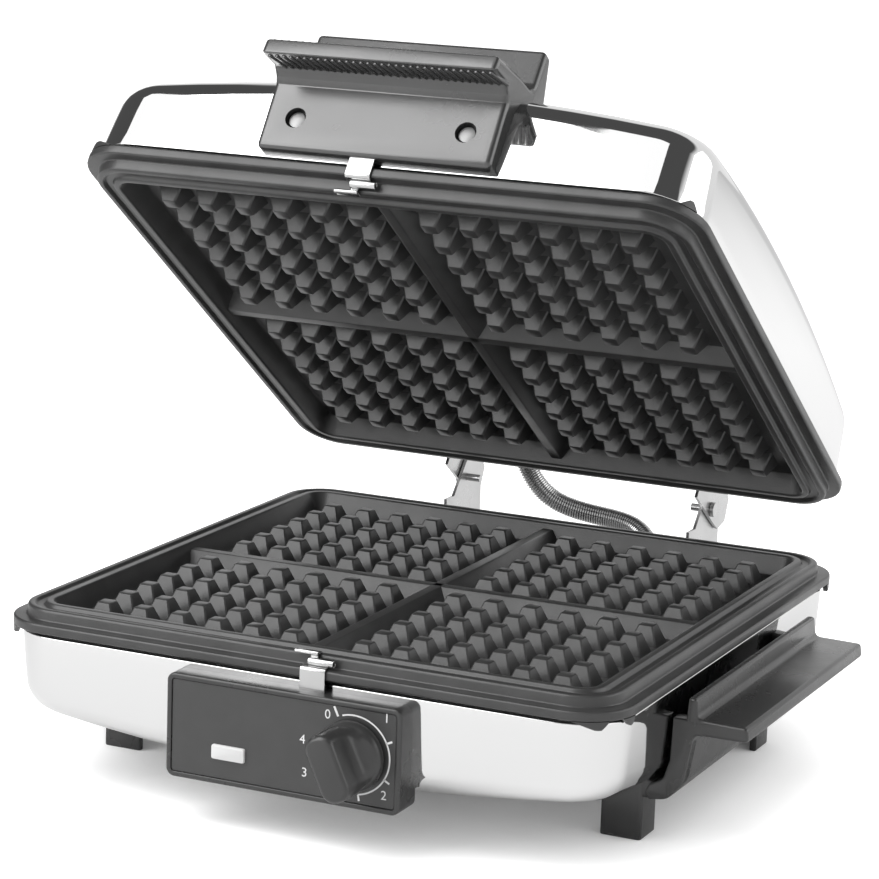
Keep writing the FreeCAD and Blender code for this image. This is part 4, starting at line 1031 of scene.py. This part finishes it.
def side_handle_mesh(bm):
    """Right-hand handle: flange and lip on a skirt, a web at each end, a rail under the shell, two legs."""
    under = [(106, 15.0, 1.0), (112.8, 15.9, 6.0), (118.0, 22.6, 5.0), (120.9, 39.6, 3.0)]
    skirt = scaled([(104.6, 17.5, 0.5)] + under + [
        (140.1, 39.6, 1.6), (139.5, 44.8, 1.6), (122.2, 45.2, 2.4), (121.5, 52.2, 1.4), (118.5, 52.2, 1.3),
        (117.9, 44.8, 2.0), (116.6, 29.0, 5.0), (112.0, 22.6, 4.0), (106.0, 21.0, 0.5),
    ])
    front, back = -58 * MM, 65 * MM
    rounded_prism(bm, skirt, front, back, 1.2 * MM, along_y)
    web = scaled([(104.6, 17.5, 0.5)] + under + [
        (124.5, 39.6, 0.5), (124.5, 44.8, 0.3), (113.4, 44.8, 0.6), (112.9, 29.8, 3.0), (110.7, 22.9, 3.0),
        (106.0, 20.4, 0.5),
    ])
    rounded_prism(bm, web, front - 0.05 * MM, front + 6 * MM, 0.8 * MM, along_y)
    rounded_prism(bm, web, back - 6 * MM, back + 0.05 * MM, 0.8 * MM, along_y)
    rail = scaled([
        (89.2, 15.0, 1.5), (107.0, 15.2, 2.0), (110.0, 20.0, 1.0), (104.0, 22.5, 0.5), (89.2, 20.5, 0.5),
    ])
    rounded_prism(bm, rail, front + 0.4 * MM, 71 * MM, 1.0 * MM, along_y)
    angle_leg = [
        (89.2, -58, 1.0), (104.0, -58, 1.4), (104.0, -44.6, 0.8), (101.4, -44.6, 0.8), (101.4, -55.4, 1.0),
        (89.2, -55.4, 0.8),
    ]
    middle = 6.5
    turned = [(x, 2 * middle - y, radius) for x, y, radius in reversed(angle_leg)]
    for leg, screw_y in ((angle_leg, -50.5), (turned, 63.5)):
        rounded_prism(bm, scaled(leg), 0, 22 * MM, 0.5 * MM, along_z)
        boss = rounded_ring(3.4 * MM, 3.4 * MM, 3.4 * MM, 6 * MM, 6)
        top = [point + Vector((0, 0, 14 * MM)) for point in boss]
        for point in boss + top:
            point += Vector((96.35 * MM, screw_y * MM, 0))
        loft(bm, [boss, top])


class WAFFLE_OT_side_handles(Operator):
    """Make the two side handles with their legs"""
    bl_idname = "waffle.side_handles"
    bl_label = "Side handles"

    def execute(self, context):
        mirror = Matrix.Scale(-1, 4, Vector((1, 0, 0)))
        for name, place in (("side_handle_right", base_place), ("side_handle_left", base_place @ mirror)):
            bm = bmesh.new()
            side_handle_mesh(bm)
            finished_piece(name + "_moulding", bm, "handle_plastic", place, "base", (name,))
        return {"FINISHED"}


def drilled(piece, holes):
    """Cut round holes (place, radius, depth along Y) into a finished piece."""
    bm = bmesh.new()
    for matrix, radius, depth in holes:
        turn = Matrix.Rotation(math.radians(90), 4, "X")
        bmesh.ops.create_cone(
            bm, cap_ends=True, segments=40, radius1=radius, radius2=radius, depth=2 * depth,
            matrix=matrix @ turn,
        )
    mesh = bpy.data.meshes.new("drill")
    bm.to_mesh(mesh)
    bm.free()
    drill = bpy.data.objects.new("drill", mesh)
    bpy.context.scene.collection.objects.link(drill)
    cut = piece.modifiers.new("Drill", "BOOLEAN")
    cut.operation = "DIFFERENCE"
    cut.solver = "EXACT"
    cut.use_self = True
    cut.object = drill
    evaluated = piece.evaluated_get(bpy.context.evaluated_depsgraph_get())
    result = bpy.data.meshes.new_from_object(evaluated)
    old = piece.data
    piece.modifiers.remove(cut)
    result.name = piece.name
    piece.data = result
    result.shade_smooth()
    result.set_sharp_from_angle(angle=SHARP_EDGE)
    bpy.data.meshes.remove(old)
    bpy.data.objects.remove(drill)
    bpy.data.meshes.remove(mesh)


class WAFFLE_OT_lid_handle(Operator):
    """Make the lid handle with its ribbed lip and its screws"""
    bl_idname = "waffle.lid_handle"
    bl_label = "Lid handle"

    def execute(self, context):
        outline = scaled([
            (-105, 75, 1.0), (-90.5, 98.8, 1.0), (-90.5, 113.2, 2.0), (-97.0, 129.4, 1.4),
            (-101.9, 129.4, 1.4), (-102.5, 113.2, 4.0), (-114.5, 111.7, 4.0), (-131.6, 108.0, 1.0),
            (-134.2, 107.4, 0.7), (-134.6, 102, 0.7), (-131.6, 102, 0.8), (-124, 103, 2.0),
            (-120.5, 100.8, 1.6), (-119, 98.8, 1.0), (-118, 75, 2.2),
        ])
        half = 43.3 * MM
        bm = bmesh.new()
        rounded_prism(bm, outline, -half, half, 2.0 * MM, along_x, 4)
        piece = finished_piece("lid_handle_moulding", bm, "grip_plastic", lid_place, "lid", ("lid_handle",))
        screw_x = 31.5 * MM
        holes = []
        for x in (-screw_x, screw_x):
            holes.append((lid_place @ Matrix.Translation((x, -118.6 * MM, 86.8 * MM)), 3.8 * MM, 3.6 * MM))
        drilled(piece, holes)

        rib = bmesh.new()
        rounded_prism(rib, scaled(box_outline(-0.7, 0.7, -0.8, 0.8, 0.6)), 0, 10.5 * MM, 0.4 * MM, along_z, 2)
        count = 32
        step = 2 * half / (count + 1)
        ribs = bmesh.new()
        for lean, slant, y, z in ((-78, -6, -132.6, 107.6), (-82.5, -15, -132.9, 102.1)):
            row = rib.copy()
            turn = Matrix.Rotation(math.radians(slant), 4, "Z") @ Matrix.Rotation(math.radians(lean), 4, "X")
            row.transform(turn)
            start = Vector((-half + step, y * MM, z * MM))
            take_in(ribs, repeated(row, repeat_on_line(), {
                "Count": count, "Start": start, "Step": Vector((step, 0, 0)),
                "Material": finish("grip_plastic"),
            }))
        rib.free()
        finished_piece("lid_handle_ribs", ribs, "grip_plastic", lid_place, "lid", ())

        screws = bmesh.new()
        for x in (-screw_x, screw_x):
            part = bmesh.new()
            loft(part, front_rings([
                round_station(3.3 * MM, 115.2 * MM), round_station(3.3 * MM, 116.2 * MM),
                round_station(2.9 * MM, 117.0 * MM), round_station(1.6 * MM, 117.4 * MM),
            ], 6))
            part.transform(Matrix.Translation((x, 0, 86.8 * MM)) @ facing_front)
            join_in(screws, part)
        finished_piece(
            "lid_handle_screw_heads", screws, "fastener_steel", lid_place, "lid", ("lid_handle_screws",),
        )
        return {"FINISHED"}


# Middle line of the conduit, from the lid to the base, in metres from the middle of the grids on the table
CONDUIT_ROUTE = [
    (-0.0300, 0.12532, 0.10115), (-0.0300, 0.13182, 0.09648), (-0.0300, 0.13954, 0.09094),
    (-0.0275, 0.14050, 0.07500), (-0.0165, 0.14150, 0.06200), (0.0025, 0.14450, 0.05850),
    (0.0195, 0.14450, 0.05750), (0.0295, 0.13750, 0.05100), (0.0330, 0.12650, 0.04300),
    (0.0330, 0.11700, 0.04300), (0.0330, 0.10900, 0.04300),
]


def route_points(route):
    """Even points along a smooth spline of the route."""
    curve = bpy.data.curves.new("conduit_route", "CURVE")
    curve.dimensions = "3D"
    curve.resolution_u = 24
    spline = curve.splines.new("NURBS")
    spline.points.add(len(route) - 1)
    for point, place in zip(spline.points, route):
        point.co = (*place, 1.0)
    spline.order_u = 4
    spline.use_endpoint_u = True
    carrier = bpy.data.objects.new("conduit_route", curve)
    bpy.context.scene.collection.objects.link(carrier)
    evaluated = carrier.evaluated_get(bpy.context.evaluated_depsgraph_get())
    mesh = bpy.data.meshes.new_from_object(evaluated)
    line = [vertex.co.copy() for vertex in mesh.vertices]
    bpy.data.objects.remove(carrier)
    bpy.data.curves.remove(curve)
    bpy.data.meshes.remove(mesh)
    return line


def evenly(line, count):
    """Count + 1 points at equal distances along a line of points."""
    distances = [0.0]
    for before, after in zip(line, line[1:]):
        distances.append(distances[-1] + (after - before).length)
    points = []
    segment = 0
    for index in range(count + 1):
        goal = distances[-1] * index / count
        while segment < len(line) - 2 and distances[segment + 1] < goal:
            segment += 1
        span = distances[segment + 1] - distances[segment]
        points.append(line[segment].lerp(line[segment + 1], (goal - distances[segment]) / span))
    return points


def carried_frames(points):
    """Point, side and up at each point of a line, carried along it without twist."""
    frames = []
    side = None
    last = len(points) - 1
    for index, point in enumerate(points):
        ahead = (points[min(index + 1, last)] - points[max(index - 1, 0)]).normalized()
        if side is None:
            side = ahead.cross(Vector((1, 0, 0))).normalized()
        side = (side - ahead * side.dot(ahead)).normalized()
        frames.append((point, side, ahead.cross(side)))
    return frames


def wire_tube(bm, points, radius, sides):
    """Round wire through the points."""
    rings = []
    for point, side, up in carried_frames(points):
        ring = []
        for step in range(sides):
            angle = 2 * math.pi * step / sides
            ring.append(point + side * (radius * math.cos(angle)) + up * (radius * math.sin(angle)))
        rings.append(ring)
    loft(bm, rings)


class WAFFLE_OT_conduit(Operator):
    """Make the close-wound spring conduit between base and lid"""
    bl_idname = "waffle.conduit"
    bl_label = "Spring conduit"

    def execute(self, context):
        sizes = context.scene.waffle_conduit
        per_turn = 14
        centres = evenly(route_points(CONDUIT_ROUTE), sizes.turns * per_turn)
        coil = sizes.radius - sizes.wire_radius
        wire = []
        for index, (point, side, up) in enumerate(carried_frames(centres)):
            angle = 2 * math.pi * index / per_turn
            wire.append(point + side * (coil * math.cos(angle)) + up * (coil * math.sin(angle)))
        bm = bmesh.new()
        wire_tube(bm, wire, sizes.wire_radius, 6)
        core = bmesh.new()
        wire_tube(core, centres[::per_turn], coil - 0.25 * MM, 14)
        join_in(bm, core)
        piece = finished_piece("conduit_coil", bm, "conduit_wire", base_place, None, ("spring_conduit",))
        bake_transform(piece)
        return {"FINISHED"}


class WAFFLE_OT_rivets(Operator):
    """Make the domed rivets of the hinge brackets"""
    bl_idname = "waffle.rivets"
    bl_label = "Hinge rivets"

    def execute(self, context):
        rivet = bmesh.new()
        loft(rivet, front_rings([
            round_station(3.4 * MM, -1.0 * MM), round_station(3.4 * MM, 0.2 * MM),
            round_station(3.1 * MM, 0.6 * MM), round_station(2.2 * MM, 0.9 * MM),
            round_station(0.9 * MM, 1.0 * MM),
        ], 4))
        facing_back = Matrix.Rotation(math.radians(-90), 4, "X")
        level = grid_level() - 14.4 * MM
        for name, body, place, reach in (
            ("base_hinge_rivets", "base", base_place, 46.4),
            ("lid_hinge_rivets", "lid", turned_over_place(), 58.2),
        ):
            bm = bmesh.new()
            field = repeated(rivet.copy(), repeat_on_grid(), {
                "Rows X": 2, "Rows Y": 2, "Pitch X": 2 * reach * MM, "Pitch Y": 8 * MM,
                "Gap X": 0.0, "Gap Y": 0.0, "Material": finish("fastener_steel"),
            })
            take_in(bm, field, Matrix.Translation((0, 113.9 * MM, level)) @ facing_back)
            finished_piece(name + "_heads", bm, "fastener_steel", place, body, (name,))
        rivet.free()
        return {"FINISHED"}


def clip_mesh(bm, centre, lean, drop):
    """Spring clip at the lower grid's front: foot and strap of one sheet, a curl, and a bar on the ridge."""
    sheet = 0.6 * MM
    level = grid_level() / MM
    face = -PLATE_HALF / MM - 0.7
    ridge = face + 4.7
    foot = level - drop - 0.3
    tab = level + 0.7
    strap = scaled([(ridge - 2.2, foot, 0), (face, foot, 1.0), (face, tab, 1.3), (ridge - 0.9, tab, 0)])
    half = 4.6
    rounded_prism(bm, ribbon(strap, sheet), (centre - half) * MM, (centre + half) * MM, 0.12 * MM, along_x)
    curl = []
    for step in range(15):
        angle = math.radians(-90 + 24 * step)
        radius = 1.2 - 0.012 * step
        curl.append((ridge - 1.9 + radius * math.cos(angle), tab + 1.4 + radius * math.sin(angle), 0.3))
    curl_x = centre + lean * 1.9
    curl_line = ribbon(scaled(curl), sheet)
    rounded_prism(bm, curl_line, (curl_x - half) * MM, (curl_x + half) * MM, 0.12 * MM, along_x)
    bar_x = centre - lean * 4.2
    high = level + 4.45
    bar = scaled([(ridge - 0.8, high, 0.3), (ridge + 2.2, high, 0.3)])
    rounded_prism(bm, ribbon(bar, sheet), (bar_x - 4.3) * MM, (bar_x + 4.3) * MM, 0.12 * MM, along_x)
    roll = []
    for step in range(12):
        angle = math.radians(30 * step)
        roll.append((ridge - 0.85 + 0.75 * math.cos(angle), high + 0.2 + 0.75 * math.sin(angle), 0.2))
    rounded_prism(bm, scaled(roll), (bar_x - 4.3) * MM, (bar_x + 4.3) * MM, 0.2 * MM, along_x)
    neck = scaled([(ridge - 0.75, tab + 1.4, 0), (ridge - 0.75, high, 0)])
    edges = sorted((bar_x + lean * 4.2, bar_x + lean * 1.6))
    rounded_prism(bm, ribbon(neck, sheet), edges[0] * MM, edges[1] * MM, 0.12 * MM, along_x)


class WAFFLE_OT_clips(Operator):
    """Make the two spring clips that hold the grids"""
    bl_idname = "waffle.clips"
    bl_label = "Grid clips"

    def execute(self, context):
        for name, body, place, centre, lean, drop in (
            ("lower_clip", "lower_clip_spring", base_place, 8.6, 1, 13.0),
            ("upper_clip", "upper_clip_spring", turned_over_place(), 3.6, -1, 8.0),
        ):
            bm = bmesh.new()
            clip_mesh(bm, centre, lean, drop)
            finished_piece(name + "_sheet", bm, "spring_steel", place, body, (name,))
        return {"FINISHED"}


class WAFFLE_OT_kept_nodes(Operator):
    """Give the pieces that keep their solid shape their finishes"""
    bl_idname = "waffle.kept_nodes"
    bl_label = "Kept pieces"

    def execute(self, context):
        slots = {entry["node"]: entry["material_slot"] for entry in frame["record"]["subparts"]}
        for name, piece in frame["nodes"].items():
            material = finish(slots[name])
            if not piece.material_slots:
                piece.data.materials.append(material)
            for place in piece.material_slots:
                place.material = material
        return {"FINISHED"}


def area_light(name, power, size_x, size_y, place, target):
    """Soft rectangular light that looks at a point."""
    data = bpy.data.lights.new(name, "AREA")
    data.shape = "RECTANGLE"
    data.size = size_x
    data.size_y = size_y
    data.energy = power
    lamp = bpy.data.objects.new(name, data)
    direction = Vector(target) - Vector(place)
    lamp.matrix_world = Matrix.Translation(place) @ direction.to_track_quat("-Z", "Y").to_matrix().to_4x4()
    bpy.context.scene.collection.objects.link(lamp)


def mirrored_rays(tree, path):
    """Value that is 1 for rays that see the studio in a reflection or through glass."""
    mirrored = add_node(tree, "ShaderNodeMath", operation="MAXIMUM")
    tree.links.new(path.outputs["Is Glossy Ray"], mirrored.inputs[0])
    tree.links.new(path.outputs["Is Transmission Ray"], mirrored.inputs[1])
    return mirrored.outputs[0]


# Dark parts of the studio: direction across, back and up, and the angles where dark ends and white begins
STUDIO_FLAGS = (
    ((0.0, 0.0, 1.0), 45, 51), ((-0.891, 0.256, 0.375), 33, 36), ((0.534, -0.334, 0.777), 21, 24),
)
FLAG_LEVEL = 0.09

# Soft lamps: power in watts, width, height and place. All look at one point.
STUDIO_LAMPS = (
    ("key_softbox", 46, 1.43, 2.44, (-1.094, -1.375, 1.444)),
    ("top_softbox", 4, 1.03, 0.9, (-0.061, -0.746, 1.732)),
    ("left_softbox", 3.5, 0.9, 0.9, (-1.275, -0.622, 1.521)),
    ("right_softbox", 9.6, 1.77, 1.13, (1.616, 0.563, 0.795)),
)
LAMP_TARGET = (0, 0, 0.12)


def studio_world():
    """White surroundings, mirrored with a dark ceiling and two flags, and a plain level of ambient light."""
    world = bpy.data.worlds.new("studio")
    bpy.context.scene.world = world
    world.use_nodes = True
    tree = world.node_tree
    tree.nodes.clear()
    place = tree.nodes.new("ShaderNodeTexCoord")
    white = None
    for direction, dark_to, white_from in STUDIO_FLAGS:
        towards = Vector(direction).normalized()
        near = add_node(tree, "ShaderNodeVectorMath", {1: towards}, operation="DOT_PRODUCT")
        edge = add_node(tree, "ShaderNodeMapRange", {
            "From Min": math.cos(math.radians(white_from)), "From Max": math.cos(math.radians(dark_to)),
            "To Min": 1.0, "To Max": FLAG_LEVEL,
        })
        tree.links.new(place.outputs["Generated"], near.inputs[0])
        tree.links.new(near.outputs["Value"], edge.inputs["Value"])
        if white is None:
            white = edge.outputs["Result"]
        else:
            darker = add_node(tree, "ShaderNodeMath", operation="MINIMUM")
            tree.links.new(white, darker.inputs[0])
            tree.links.new(edge.outputs["Result"], darker.inputs[1])
            white = darker.outputs[0]
    ambient = add_node(tree, "ShaderNodeBackground", {"Color": (1, 1, 1, 1), "Strength": 0.5})
    studio = add_node(tree, "ShaderNodeBackground", {"Strength": 1.0})
    backdrop = add_node(tree, "ShaderNodeBackground", {"Color": (1, 1, 1, 1), "Strength": 1.0})
    reflected = tree.nodes.new("ShaderNodeMixShader")
    choice = tree.nodes.new("ShaderNodeMixShader")
    path = tree.nodes.new("ShaderNodeLightPath")
    out = tree.nodes.new("ShaderNodeOutputWorld")
    tree.links.new(white, studio.inputs["Color"])
    tree.links.new(mirrored_rays(tree, path), reflected.inputs[0])
    tree.links.new(ambient.outputs[0], reflected.inputs[1])
    tree.links.new(studio.outputs[0], reflected.inputs[2])
    tree.links.new(path.outputs["Is Camera Ray"], choice.inputs[0])
    tree.links.new(reflected.outputs[0], choice.inputs[1])
    tree.links.new(backdrop.outputs[0], choice.inputs[2])
    tree.links.new(choice.outputs[0], out.inputs["Surface"])


def floor_lift(tree):
    """Strength of the floor's glow, itself painted light: white where it lies open, dimmed close to the object by
    ambient occlusion as painted shade, and weaker in mirrors, where it fades towards the back left and grows to
    the right as painted reflection.
    """
    path = tree.nodes.new("ShaderNodeLightPath")
    place = tree.nodes.new("ShaderNodeTexCoord")
    # Painted reflection: the glow that mirrors see fades towards the back left and grows to the right
    behind = add_node(tree, "ShaderNodeVectorMath", {1: (-0.9, 0.43, 0.0)}, operation="DOT_PRODUCT")
    painted_fade_behind_left = add_node(tree, "ShaderNodeMapRange", {
        "From Min": 0.10, "From Max": 0.45, "To Min": 0.26, "To Max": 0.0,
    })
    right = add_node(tree, "ShaderNodeVectorMath", {1: (0.8, 0.6, 0.0)}, operation="DOT_PRODUCT")
    painted_rise_to_right = add_node(tree, "ShaderNodeMapRange", {
        "From Min": 0.2, "From Max": 0.9, "To Min": 0.0, "To Max": 0.3,
    })
    level = add_node(tree, "ShaderNodeMath", operation="ADD")
    mirror = add_node(tree, "ShaderNodeMath", operation="MULTIPLY")
    camera = add_node(tree, "ShaderNodeMath", {1: 0.92}, operation="MULTIPLY")
    either = add_node(tree, "ShaderNodeMath", operation="ADD")
    # Painted shade: ambient occlusion dims the glow close to the object, for the camera and in mirrors
    painted_shade_near_object = add_node(tree, "ShaderNodeAmbientOcclusion", {"Distance": 0.04})
    strength = add_node(tree, "ShaderNodeMath", operation="MULTIPLY")
    tree.links.new(place.outputs["Object"], behind.inputs[0])
    tree.links.new(behind.outputs["Value"], painted_fade_behind_left.inputs["Value"])
    tree.links.new(place.outputs["Object"], right.inputs[0])
    tree.links.new(right.outputs["Value"], painted_rise_to_right.inputs["Value"])
    tree.links.new(painted_fade_behind_left.outputs["Result"], level.inputs[0])
    tree.links.new(painted_rise_to_right.outputs["Result"], level.inputs[1])
    tree.links.new(level.outputs[0], mirror.inputs[0])
    tree.links.new(mirrored_rays(tree, path), mirror.inputs[1])
    tree.links.new(path.outputs["Is Camera Ray"], camera.inputs[0])
    tree.links.new(mirror.outputs[0], either.inputs[0])
    tree.links.new(camera.outputs[0], either.inputs[1])
    tree.links.new(either.outputs[0], strength.inputs[0])
    tree.links.new(painted_shade_near_object.outputs["AO"], strength.inputs[1])
    return strength.outputs[0]


def studio_floor():
    """Wide white floor that keeps a soft shadow from the lamps, deepened close to the object by painted shade in
    its glow.
    """
    bm = bmesh.new()
    bmesh.ops.create_grid(bm, x_segments=1, y_segments=1, size=12.0)
    mesh = bpy.data.meshes.new("studio_floor")
    bm.to_mesh(mesh)
    bm.free()
    floor = bpy.data.objects.new("studio_floor", mesh)
    bpy.context.scene.collection.objects.link(floor)
    material = bpy.data.materials.new("floor_paper")
    material.use_nodes = True
    tree = material.node_tree
    tree.nodes.clear()
    paper = add_node(tree, "ShaderNodeBsdfDiffuse", {"Color": (0.8, 0.8, 0.8, 1)})
    glow = add_node(tree, "ShaderNodeEmission", {"Color": (1, 1, 1, 1)})
    both = tree.nodes.new("ShaderNodeAddShader")
    out = tree.nodes.new("ShaderNodeOutputMaterial")
    tree.links.new(floor_lift(tree), glow.inputs["Strength"])
    tree.links.new(paper.outputs[0], both.inputs[0])
    tree.links.new(glow.outputs[0], both.inputs[1])
    tree.links.new(both.outputs[0], out.inputs["Surface"])
    mesh.materials.append(material)


class WAFFLE_OT_stage(Operator):
    """Set up floor, light, surroundings and camera"""
    bl_idname = "waffle.stage"
    bl_label = "Studio"

    def execute(self, context):
        settings = context.scene.waffle_stage
        context.scene.view_settings.view_transform = "Standard"
        studio_world()
        studio_floor()
        for name, power, wide, high, place in STUDIO_LAMPS:
            area_light(name, power, wide, high, place, LAMP_TARGET)
        across = Vector((math.cos(settings.azimuth), math.sin(settings.azimuth), 0))
        forward = Vector((
            -math.sin(settings.azimuth) * math.cos(settings.elevation),
            math.cos(settings.azimuth) * math.cos(settings.elevation),
            -math.sin(settings.elevation),
        ))
        upright = across.cross(forward)
        right = across * math.cos(settings.roll) + upright * math.sin(settings.roll)
        up = upright * math.cos(settings.roll) - across * math.sin(settings.roll)
        data = bpy.data.cameras.new("photo_camera")
        data.sensor_width = 36.0
        data.lens = settings.lens
        data.clip_end = 60.0
        camera = bpy.data.objects.new("photo_camera", data)
        turn = Matrix((right, up, -forward)).transposed().to_4x4()
        camera.matrix_world = base_place @ Matrix.Translation(settings.place) @ turn
        context.scene.collection.objects.link(camera)
        context.scene.camera = camera
        return {"FINISHED"}


OPERATORS = (
    WAFFLE_OT_kept_nodes, WAFFLE_OT_shells, WAFFLE_OT_grids, WAFFLE_OT_control_box, WAFFLE_OT_knob,
    WAFFLE_OT_side_handles, WAFFLE_OT_lid_handle, WAFFLE_OT_conduit, WAFFLE_OT_clips, WAFFLE_OT_rivets,
    WAFFLE_OT_stage,
)


class WAFFLE_PT_sidebar(Panel):
    """Pieces and sizes of the waffle maker"""
    bl_idname = "WAFFLE_PT_sidebar"
    bl_label = "Waffle maker"
    bl_space_type = "VIEW_3D"
    bl_region_type = "UI"
    bl_category = "Waffle maker"

    def draw(self, context):
        for operator in OPERATORS:
            self.layout.operator(operator.bl_idname)
        for name, group in SETTINGS.items():
            box = self.layout.box()
            box.label(text=group.__doc__)
            for field in group.__annotations__:
                box.prop(getattr(context.scene, name), field)


def register():
    for name, group in SETTINGS.items():
        bpy.utils.register_class(group)
        setattr(bpy.types.Scene, name, PointerProperty(type=group))
    for operator in OPERATORS:
        bpy.utils.register_class(operator)
    bpy.utils.register_class(WAFFLE_PT_sidebar)


def unregister():
    bpy.utils.unregister_class(WAFFLE_PT_sidebar)
    for operator in reversed(OPERATORS):
        bpy.utils.unregister_class(operator)
    for name, group in SETTINGS.items():
        delattr(bpy.types.Scene, name)
        bpy.utils.unregister_class(group)


def main():
    register()
    bpy.ops.waffle.kept_nodes()
    bpy.ops.waffle.stage()
    bpy.ops.waffle.conduit()
    bpy.ops.waffle.shells()
    bpy.ops.waffle.grids()
    bpy.ops.waffle.control_box()
    bpy.ops.waffle.knob()
    bpy.ops.waffle.side_handles()
    bpy.ops.waffle.lid_handle()
    bpy.ops.waffle.clips()
    bpy.ops.waffle.rivets()


if __name__ == "__main__":
    main()
